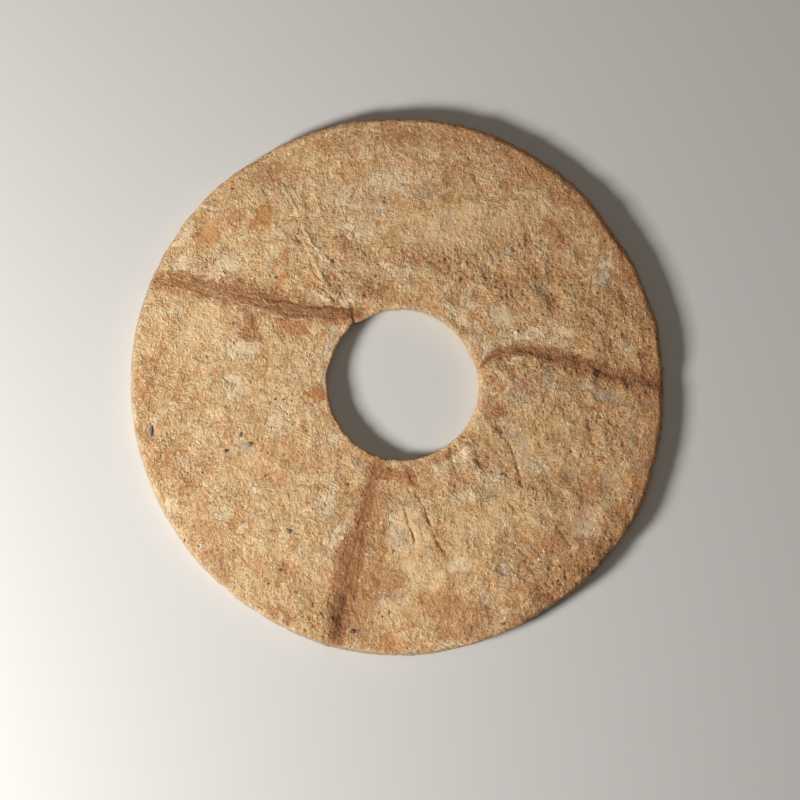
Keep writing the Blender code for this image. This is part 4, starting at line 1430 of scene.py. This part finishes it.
def with_leaves(tree, coords, colour, coarse):
    """The colour with the dark feet of leaves and chips, and how many leaves are left for the height."""
    leaf = placed(tree, leaf_edges, {"Vector": coords, "Size": PER_MM / LEAF_SIZE, "Level": 0.5})
    chip = placed(tree, leaf_edges, {"Vector": coords, "Size": PER_MM / CHIP_SIZE, "Level": CHIP_LEVEL})
    foot = maths(tree, "MAXIMUM", leaf["Edge"], times(tree, chip["Edge"], coarse))
    foot = times(tree, foot, spread(tree, attribute(tree, "smooth"), 0.0, 1.0, 0.50, 0.15))
    colour = blended(tree, foot, laid(tree, colour, coarse, "coarse skin"), LEAF_FOOT)
    return colour, plus(tree, leaf["Leaf"], times(tree, chip["Leaf"], coarse))


def with_plates(tree, coords, colour, coarse):
    """The colour with plates and gaps, the plates, and how plain they are to see: less on smooth skin."""
    scales = placed(tree, plates, {"Vector": coords, "Size": PER_MM / PLATE_SIZE, "Gap": PLATE_GAP})
    unbroken = times(tree, spread(tree, attribute(tree, "smooth"), 0.0, 1.0, 1.0, 0.3),
                     spread(tree, coarse, 0.1, 0.9, 1.0, 0.5))
    for low, high, tone, strength in PLATE_TONES:
        chosen = times(tree, spread(tree, scales["Plate"], low, high), unbroken)
        colour = over(tree, colour, chosen, strength, tone)
    return laid(tree, colour, times(tree, scales["Gaps"], unbroken), "gaps between plates"), scales, unbroken


# %% [markdown]
# ## Stains, soil and lines
#
# Each of these adds its colours to what lies under it. The soil lies in threads along the crease. The scratches
# are threads too, some dark and some pale, and cracks and ridges are drawn along their lines.

# %% Stains, soil and lines
THREAD_LENGTH, SOIL_THREAD, SCRATCH_THREAD = 9.0, 0.38, 0.30    # length and widths of threads in mm
LINE_WIDTH = 0.9                                # half the width that is drawn, in half widths of the line
LINE_CRUMBS = (("ridge", 0.8), ("crack", 0.9))  # size in mm of what breaks a line's edge


def with_stains(tree, coords, colour, lift):
    """The colour under its stains, and the mask of each stain."""
    masks = {}
    for name, dark, light, size, ragged, hardness, strength in STAINS:
        masks[name] = flecked(tree, coords, attribute(tree, name), size, ragged, hardness)
        tones = {"Vector": coords, "Size": PER_MM / STAIN_CLOUD_SIZE, "Lift": lift, "Dark": dark, "Light": light,
                 "Middle": light}
        colour = over(tree, colour, masks[name], strength, placed(tree, mottle, tones)["Color"])
    return colour, masks


def with_specks(tree, coords, colour, coarse):
    """The colour with specks strewn over it, of which more show where the skin is coarse."""
    for size, on_smooth, on_rough, radius, tone, strength in SPECKS:
        share = spread(tree, coarse, 0.0, 0.8, on_smooth, on_rough)
        inputs = {"Vector": coords, "Size": PER_MM / size, "Share": share, "Radius": radius}
        colour = over(tree, colour, placed(tree, specks, inputs)["Specks"], strength, tone)
    return colour


def threads_beside(tree, width):
    """Threads along the nearest crease or the sheaf of scratches."""
    inputs = {"Run": attribute(tree, "run"), "Left": attribute(tree, "left"), "Length": THREAD_LENGTH,
              "Width": width}
    return placed(tree, streaks, inputs)["Streaks"]


def with_soil(tree, coords, colour, threads):
    """The colour under soil, which is darkest between the threads."""
    soil = flecked(tree, coords, attribute(tree, "soil"), 0.9, 0.8, 2.5)
    clods = placed(tree, mottle, {"Vector": coords, "Size": PER_MM / 2, "Contrast": 0.8, **SOIL})["Color"]
    streaked = blended(tree, spread(tree, threads, 0.1, 0.75), SOIL["Dark"], clods)
    return over(tree, colour, soil, 0.85, streaked)


def with_scratches(tree, colour, combed, scratched):
    """The colour with the dark and the pale threads of the sheaf."""
    dark = times(tree, spread(tree, combed, 0.35, 0.1), scratched)
    pale = times(tree, spread(tree, combed, 0.65, 0.9), scratched)
    return laid(tree, laid(tree, colour, dark, "dark scratch"), pale, "pale scratch")


def drawn_lines(tree, coords):
    """How strongly ridges and cracks show at a point."""
    drawn = {}
    for name, size in LINE_CRUMBS:
        inputs = {"Vector": coords, "Left": attribute(tree, name + "_left"), "Strength": attribute(tree, name),
                  "Width": LINE_WIDTH, "Size": PER_MM / size}
        drawn[name] = placed(tree, thin_line, inputs)["Line"]
    return drawn


# %% [markdown]
# ## The weathered skin
#
# The layers are put together here, from the ground up. Rubbed edges, with a painted highlight on the bore's lip
# where it faces the lamp, lie under the stains, and the grey tone painted on corners that the lamp lights lies
# over them. The bump is only for grain, leaves and threads under a millimetre, since everything larger is in the
# mesh.
# It is quieter where the skin is still smooth.

# %% The weathered skin
GRAIN_SIZE = 0.74                               # in mm
GRAIN_HEIGHT = (0.60, 1.00)                     # of the bump, where the skin is smooth and rough, in mm
QUIET = 0.45                                    # the share of it that is left inside patches
LEAF_HEIGHT, PLATE_HEIGHT, GAP_DEPTH = 0.028, 0.06, 0.04
THREAD_HEIGHT, CRACK_DEPTH, RIDGE_HEIGHT = 0.06, 0.12, 0.06
SKIN_ROUGHNESS, GREY_GLOSS = 0.88, 0.22         # grey glass is smoother by this much


def weathered_skin():
    """The material of the disc: its colour, then its roughness, then its fine height."""
    material, tree, shader, coords = started("weathered_skin", 0.85)
    grain = placed(tree, chalky_grain, {"Vector": coords, "Size": PER_MM / GRAIN_SIZE,
                                        "Pitting": attribute(tree, "rough")})
    coarse, scratched = attribute(tree, "rough"), attribute(tree, "scratched")
    threads, combed = threads_beside(tree, SOIL_THREAD), threads_beside(tree, SCRATCH_THREAD)
    drawn = drawn_lines(tree, coords)

    colour, lift = tan_ground(tree, coords, grain)
    colour, steps = with_leaves(tree, coords, colour, coarse)
    colour, scales, unbroken = with_plates(tree, coords, colour, coarse)
    # rubbed edges, with a painted highlight on the bore's lip where it faces the lamp
    rubbed_and_painted_highlight = flecked(tree, coords, attribute(tree, "rubbed_and_painted_highlight"), 1.2, 0.6, 1.5)
    colour, masks = with_stains(tree, coords, laid(tree, colour, rubbed_and_painted_highlight, "rubbed edge and painted highlight"), lift)
    colour = with_specks(tree, coords, colour, coarse)
    colour = with_soil(tree, coords, colour, threads)
    # soil and painted shade in hollows and in the pits between grains
    colour = laid(tree, colour, attribute(tree, "hollow_soil_and_shade"), "hollow_soil_and_shade")
    colour = laid(tree, colour, grain["Pits"], "soil and painted shade in pits")
    colour = with_scratches(tree, colour, combed, scratched)
    # painted light: a grey tone on corners that face the lamp
    painted_lit_corner = flecked(tree, coords, attribute(tree, "painted_lit_corner"), 1.5, 0.7, 1.5)
    colour = laid(tree, colour, painted_lit_corner, "painted lit corner")
    colour = laid(tree, laid(tree, colour, drawn["ridge"], "ridge"), drawn["crack"], "crack")
    tree.links.new(colour, shader.inputs["Base Color"])
    tree.links.new(less(tree, SKIN_ROUGHNESS, times(tree, masks["grey"], GREY_GLOSS)), shader.inputs["Roughness"])

    patch = maths(tree, "MAXIMUM", masks["smooth"], maths(tree, "MAXIMUM", masks["grey"], masks["pale"]))
    quiet = spread(tree, patch, 0.0, 1.0, 1.0, QUIET)
    grain_height = spread(tree, coarse, 0.0, 1.0, *GRAIN_HEIGHT)
    height = times(tree, grain["Height"], times(tree, grain_height, quiet))
    height = plus(tree, height, times(tree, steps, LEAF_HEIGHT))
    raised = less(tree, times(tree, scales["Plate"], PLATE_HEIGHT), times(tree, scales["Gaps"], GAP_DEPTH))
    height = plus(tree, height, times(tree, raised, times(tree, unbroken, quiet)))
    for part, weight in ((threads, attribute(tree, "soil")), (combed, scratched)):
        height = plus(tree, height, times(tree, times(tree, part, weight), THREAD_HEIGHT))
    height = less(tree, height, times(tree, drawn["crack"], CRACK_DEPTH))
    height = plus(tree, height, times(tree, drawn["ridge"], RIDGE_HEIGHT))
    bump = node(tree, "Bump", {"Strength": 1.0, "Distance": MM, "Height": height})
    tree.links.new(bump.outputs[0], shader.inputs["Normal"])
    return material


disc = new_object("bi_disc_surface", disc_mesh)
disc_mesh.materials.append(weathered_skin())
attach(disc, "root")
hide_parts("bi_disc")
print("nodes in the skin's material:", len(disc_mesh.materials[0].node_tree.nodes))

# %% [markdown]
# ## Grains and crumbs
#
# Sand stuck to the skin while the disc lay in the ground: a few dark mineral grains, crumbs of soil in creases
# and pits, and crumbs of lime along the upper lip of the right crease. Each is a small knobbly lump, half sunk
# in the face. One template ball of a few dozen faces serves for all of them. The mineral grains lie in chosen
# places; crumbs are tried at places of chance, and stay where the skin holds soil or lime.

# %% A lump and its template
LUMP_RINGS, LUMP_SPOKES = 4, 8
KNOBBLY = 0.50           # how far a lump departs from an ellipsoid
LUMP_HEIGHT = 0.45       # height of a lump as a share of its width
LUMP_SINK = 0.25         # how far its middle lies below the skin, as a share of its height
LUMP_KNOBS, LUMP_APART = 1.3, 7.0       # where each lump's bulges are looked up: knobs across, and far apart


def ball_template():
    """Directions from the middle of a ball to its points, and its triangles: a pole, rings of spokes, a pole."""
    rise = np.radians(np.linspace(90, -90, LUMP_RINGS + 2)[1:-1])[:, None]
    turn = np.arange(LUMP_SPOKES) * 2 * math.pi / LUMP_SPOKES
    rings = np.stack([np.cos(rise) * np.cos(turn), np.cos(rise) * np.sin(turn), np.sin(rise) + 0 * turn], axis=-1)
    directions = np.concatenate([[(0, 0, 1)], rings.reshape(-1, 3), [(0, 0, -1)]])
    here = np.arange(LUMP_SPOKES)
    after = (here + 1) % LUMP_SPOKES
    last = len(directions) - 1
    faces = [np.stack([0 * here, 1 + here, 1 + after], axis=-1),
             np.stack([0 * here + last, last - LUMP_SPOKES + after, last - LUMP_SPOKES + here], axis=-1)]
    for high in 1 + LUMP_SPOKES * np.arange(LUMP_RINGS - 1):
        low = high + LUMP_SPOKES
        faces.append(np.stack([high + here, low + here, low + after], axis=-1))
        faces.append(np.stack([high + here, low + after, high + after], axis=-1))
    return directions, np.concatenate(faces)


def lumps(name, x, y, length, width, heading, shade, seed):
    """One mesh of many lumps, half sunk in the face at x and y. Each is the template ball, pushed in and out by
    noise, stretched to its length, width and height, and turned to its heading."""
    directions, faces = ball_template()
    count = len(x)
    lookup = directions[None] * LUMP_KNOBS + LUMP_APART * np.arange(count)[:, None, None]
    bulge = 1 + KNOBBLY * noise(lookup.reshape(-1, 3), 1.0, seed).reshape(count, -1, 1)
    sizes = np.stack([length, width, LUMP_HEIGHT * width], axis=-1)[:, None] / 2
    local = directions[None] * bulge * sizes
    turn = np.radians(heading)[:, None]
    east = local[..., 0] * np.cos(turn) - local[..., 1] * np.sin(turn) + x[:, None]
    north = local[..., 0] * np.sin(turn) + local[..., 1] * np.cos(turn) + y[:, None]
    level = thickness + skin(np.stack([x, y, np.full(count, thickness)], axis=-1))[0]
    up = local[..., 2] + (level - LUMP_SINK * LUMP_HEIGHT * width)[:, None]
    points = np.stack([east, north, up], axis=-1).reshape(-1, 3)
    starts = len(directions) * np.arange(count)[:, None, None]
    mesh = mesh_of(name, points, [(faces[None] + starts).reshape(-1, 3)])
    carry_masks(mesh, {"shade": np.repeat(shade, len(directions))})
    return mesh


directions, faces = ball_template()
print("a lump has", len(directions), "points and", len(faces), "faces")

# %% Where the grains and crumbs lie
# mineral grains: bearing, reach, length, width, heading, and shade, from 0, nearly black, to 1, grey
GRAINS = (
    (190.4, 0.932, 3.2, 1.5, 80, 0.8), (197.3, 0.608, 1.8, 1.2, 80, 0.5), (201.3, 0.59, 1.6, 1.3, 30, 0.9),
    (200.6, 0.679, 0.9, 0.8, 0, 0.1), (185.6, 0.455, 0.8, 0.6, 10, 0.1), (186.4, 0.425, 0.6, 0.4, 40, 0.2),
    (187.3, 0.396, 0.8, 0.4, -60, 0.2), (203.4, 0.858, 0.6, 0.5, 0, 0.2), (204.1, 0.828, 0.5, 0.4, 0, 0.3),
    (201.4, 0.941, 0.6, 0.4, 0, 0.2), (218.8, 0.946, 0.8, 0.6, 70, 0.1), (233.4, 0.671, 1.5, 1.1, -50, 0.4),
    (237.6, 0.808, 1.2, 0.7, -30, 0.1), (236.8, 0.875, 0.9, 0.6, 10, 0.2), (248.9, 0.87, 1.3, 0.7, -70, 0.2),
    (251.4, 0.888, 1.3, 0.5, -50, 0.1), (254.1, 0.896, 0.7, 0.5, 0, 0.2), (243.2, 0.409, 1.2, 0.9, 20, 0.4),
    (259.7, 0.928, 1.6, 1.3, 20, 0.3), (268, 0.84, 1.2, 0.7, 70, 0.4), (266.4, 0.858, 0.8, 0.6, 0, 0.4),
    (112, 0.6, 1.2, 0.5, 10, 0.4), (117, 0.522, 1.6, 0.6, -75, 0), (137.8, 0.608, 1.6, 0.6, 35, 0.5),
    (159.1, 0.652, 1.9, 0.8, 85, 0.6), (339.6, 0.692, 0.8, 0.7, 0, 0), (309.7, 0.937, 0.9, 0.6, 60, 0),
    (343.6, 0.844, 0.6, 0.5, 0, 0.1), (294, 0.965, 1.4, 0.9, 20, 0.8), (123, 0.68, 0.7, 0.4, 0, 0.2),
    (214, 0.59, 0.9, 0.3, -70, 0.1), (211, 0.49, 0.6, 0.5, 0, 0.2), (229, 0.71, 0.6, 0.5, 0, 0.3),
    (207, 0.54, 0.5, 0.5, 0, 0.3), (214, 0.71, 0.6, 0.4, 0, 0.3), (225, 0.86, 0.6, 0.5, 30, 0.3),
)
# beds of lime crumbs: places as for a stain
LIME_BEDS = (
    (23, 0.485, 3.4, 2.4, 20, 1), (21, 0.52, 3, 2.6, 0, 1), (22, 0.56, 4, 2.6, 10, 1),
    (19, 0.63, 4, 2.4, 0, 0.9), (311, 0.85, 5, 3.4, 20, 0.9), (36, 0.37, 3, 1.8, -60, 0.9),
    (46, 0.35, 4, 1.8, -50, 0.9), (10.5, 0.88, 1.4, 3, 20, 1), (31, 0.4, 3, 2, -60, 0.9),
    (320, 0.5, 2, 4, 25, 0.8), (250, 0.6, 6, 3, 30, 0.8), (313, 0.45, 2.4, 3.4, 0, 0.8),
    (357, 0.37, 2, 3, 0, 0.8), (147, 0.79, 6, 2, 15, 0.7), (126, 0.43, 3, 1.6, -40, 0.8),
)
FACE_FROM, FACE_TO = 0.33, 0.965        # reaches between which crumbs may lie


def tried_places(count, seed):
    """Places of chance on the face, spread evenly by area: x, y, and four more numbers from 0 to 1 for each."""
    numbers = np.stack([np.arange(count), np.zeros(count, int), np.zeros(count, int)], axis=-1)
    chance = [hashed(numbers, seed + k) for k in range(6)]
    reach = np.sqrt(FACE_FROM**2 + (FACE_TO**2 - FACE_FROM**2) * chance[0]) * outer
    return reach * np.cos(2 * math.pi * chance[1]), reach * np.sin(2 * math.pi * chance[1]), chance[2:]


def crumbs(name, tried, seed, likely, smallest, largest):
    """Lumps at those tried places whose likelihood is over their number of chance; small ones are commonest."""
    x, y, (keep, size, shape, shade) = tried_places(tried, seed)
    kept = keep < likely(x, y)
    x, y, size, shape, shade = [values[kept] for values in (x, y, size, shape, shade)]
    length = smallest + (largest - smallest) * size**3
    print(name, "lumps:", len(x))
    return lumps(name, x, y, length, length * (0.6 + 0.35 * shape), 360 * shape, shade, seed + 10)


def soil_likely(x, y):
    """How likely a crumb of soil stays: most in a band of soil, less in rough hollows and along cracks."""
    masks = skin(np.stack([x, y, np.full(x.shape, thickness)], axis=-1))[1]
    return 0.55 * masks["soil"] + 0.30 * masks["hollow_soil_and_shade"] * masks["rough"] + 0.10 * masks["crack"]


def lime_likely(x, y):
    """How likely a crumb of lime stays: only inside a bed of lime."""
    return 0.8 * eased(blots(x, y, LIME_BEDS), 0.2, 0.9)


bearing, reach, length, width, heading, shade = np.array(GRAINS, float).T
grain_x, grain_y = ground(np.stack([bearing, reach], axis=-1)).T
lump_meshes = {
    "mineral_specks": lumps("mineral_specks", grain_x, grain_y, length, width, heading, shade, 200),
    "soil_crumbs": crumbs("soil_crumbs", 5000, 210, soil_likely, 0.22, 0.75),
    "lime_crumbs": crumbs("lime_crumbs", 9000, 240, lime_likely, 0.35, 1.25),
}

# %% The finish of grains and crumbs
# each kind: slot, dark tone, light tone, roughness
LUMP_FINISHES = {
    "mineral_specks": ("mineral_grains", paint(62, 42, 28), paint(150, 126, 98), 0.6),
    "soil_crumbs": ("burial_soil", paint(118, 74, 42), paint(190, 142, 98), 0.9),
    "lime_crumbs": ("weathered_glass", paint(196, 158, 114), paint(232, 210, 174), 0.85),
}
LUMP_CONTRAST = 0.45     # how far a lump's own tones lie apart, as a share of the way to the two tones
LUMP_CLOUDS, LUMP_GRAIN = 0.6, 0.4      # sizes in mm
LUMP_BUMP = 0.3          # height of its grain in mm


def lump_finish(name, dark, light, roughness):
    """Each lump has its own shade between the two tones, with mottle in it and chalky grain on it."""
    material, tree, shader, coords = started(name, roughness)
    own = blended(tree, attribute(tree, "shade"), dark, light)
    deep = blended(tree, LUMP_CONTRAST, own, dark)
    pale = blended(tree, LUMP_CONTRAST, own, light)
    tones = {"Vector": coords, "Size": PER_MM / LUMP_CLOUDS, "Contrast": 0.8, "Dark": deep, "Middle": own,
             "Light": pale}
    tree.links.new(placed(tree, mottle, tones)["Color"], shader.inputs["Base Color"])
    grain = placed(tree, chalky_grain, {"Vector": coords, "Size": PER_MM / LUMP_GRAIN, "Pitting": 0.3})
    bump = node(tree, "Bump", {"Strength": 0.6, "Distance": LUMP_BUMP * MM, "Height": grain["Height"]})
    tree.links.new(bump.outputs[0], shader.inputs["Normal"])
    return material


for name, (slot, dark, light, roughness) in LUMP_FINISHES.items():
    mesh = lump_meshes[name]
    mesh.materials.append(lump_finish(name, dark, light, roughness))
    piece = new_object(name, mesh)
    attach(piece, "root")
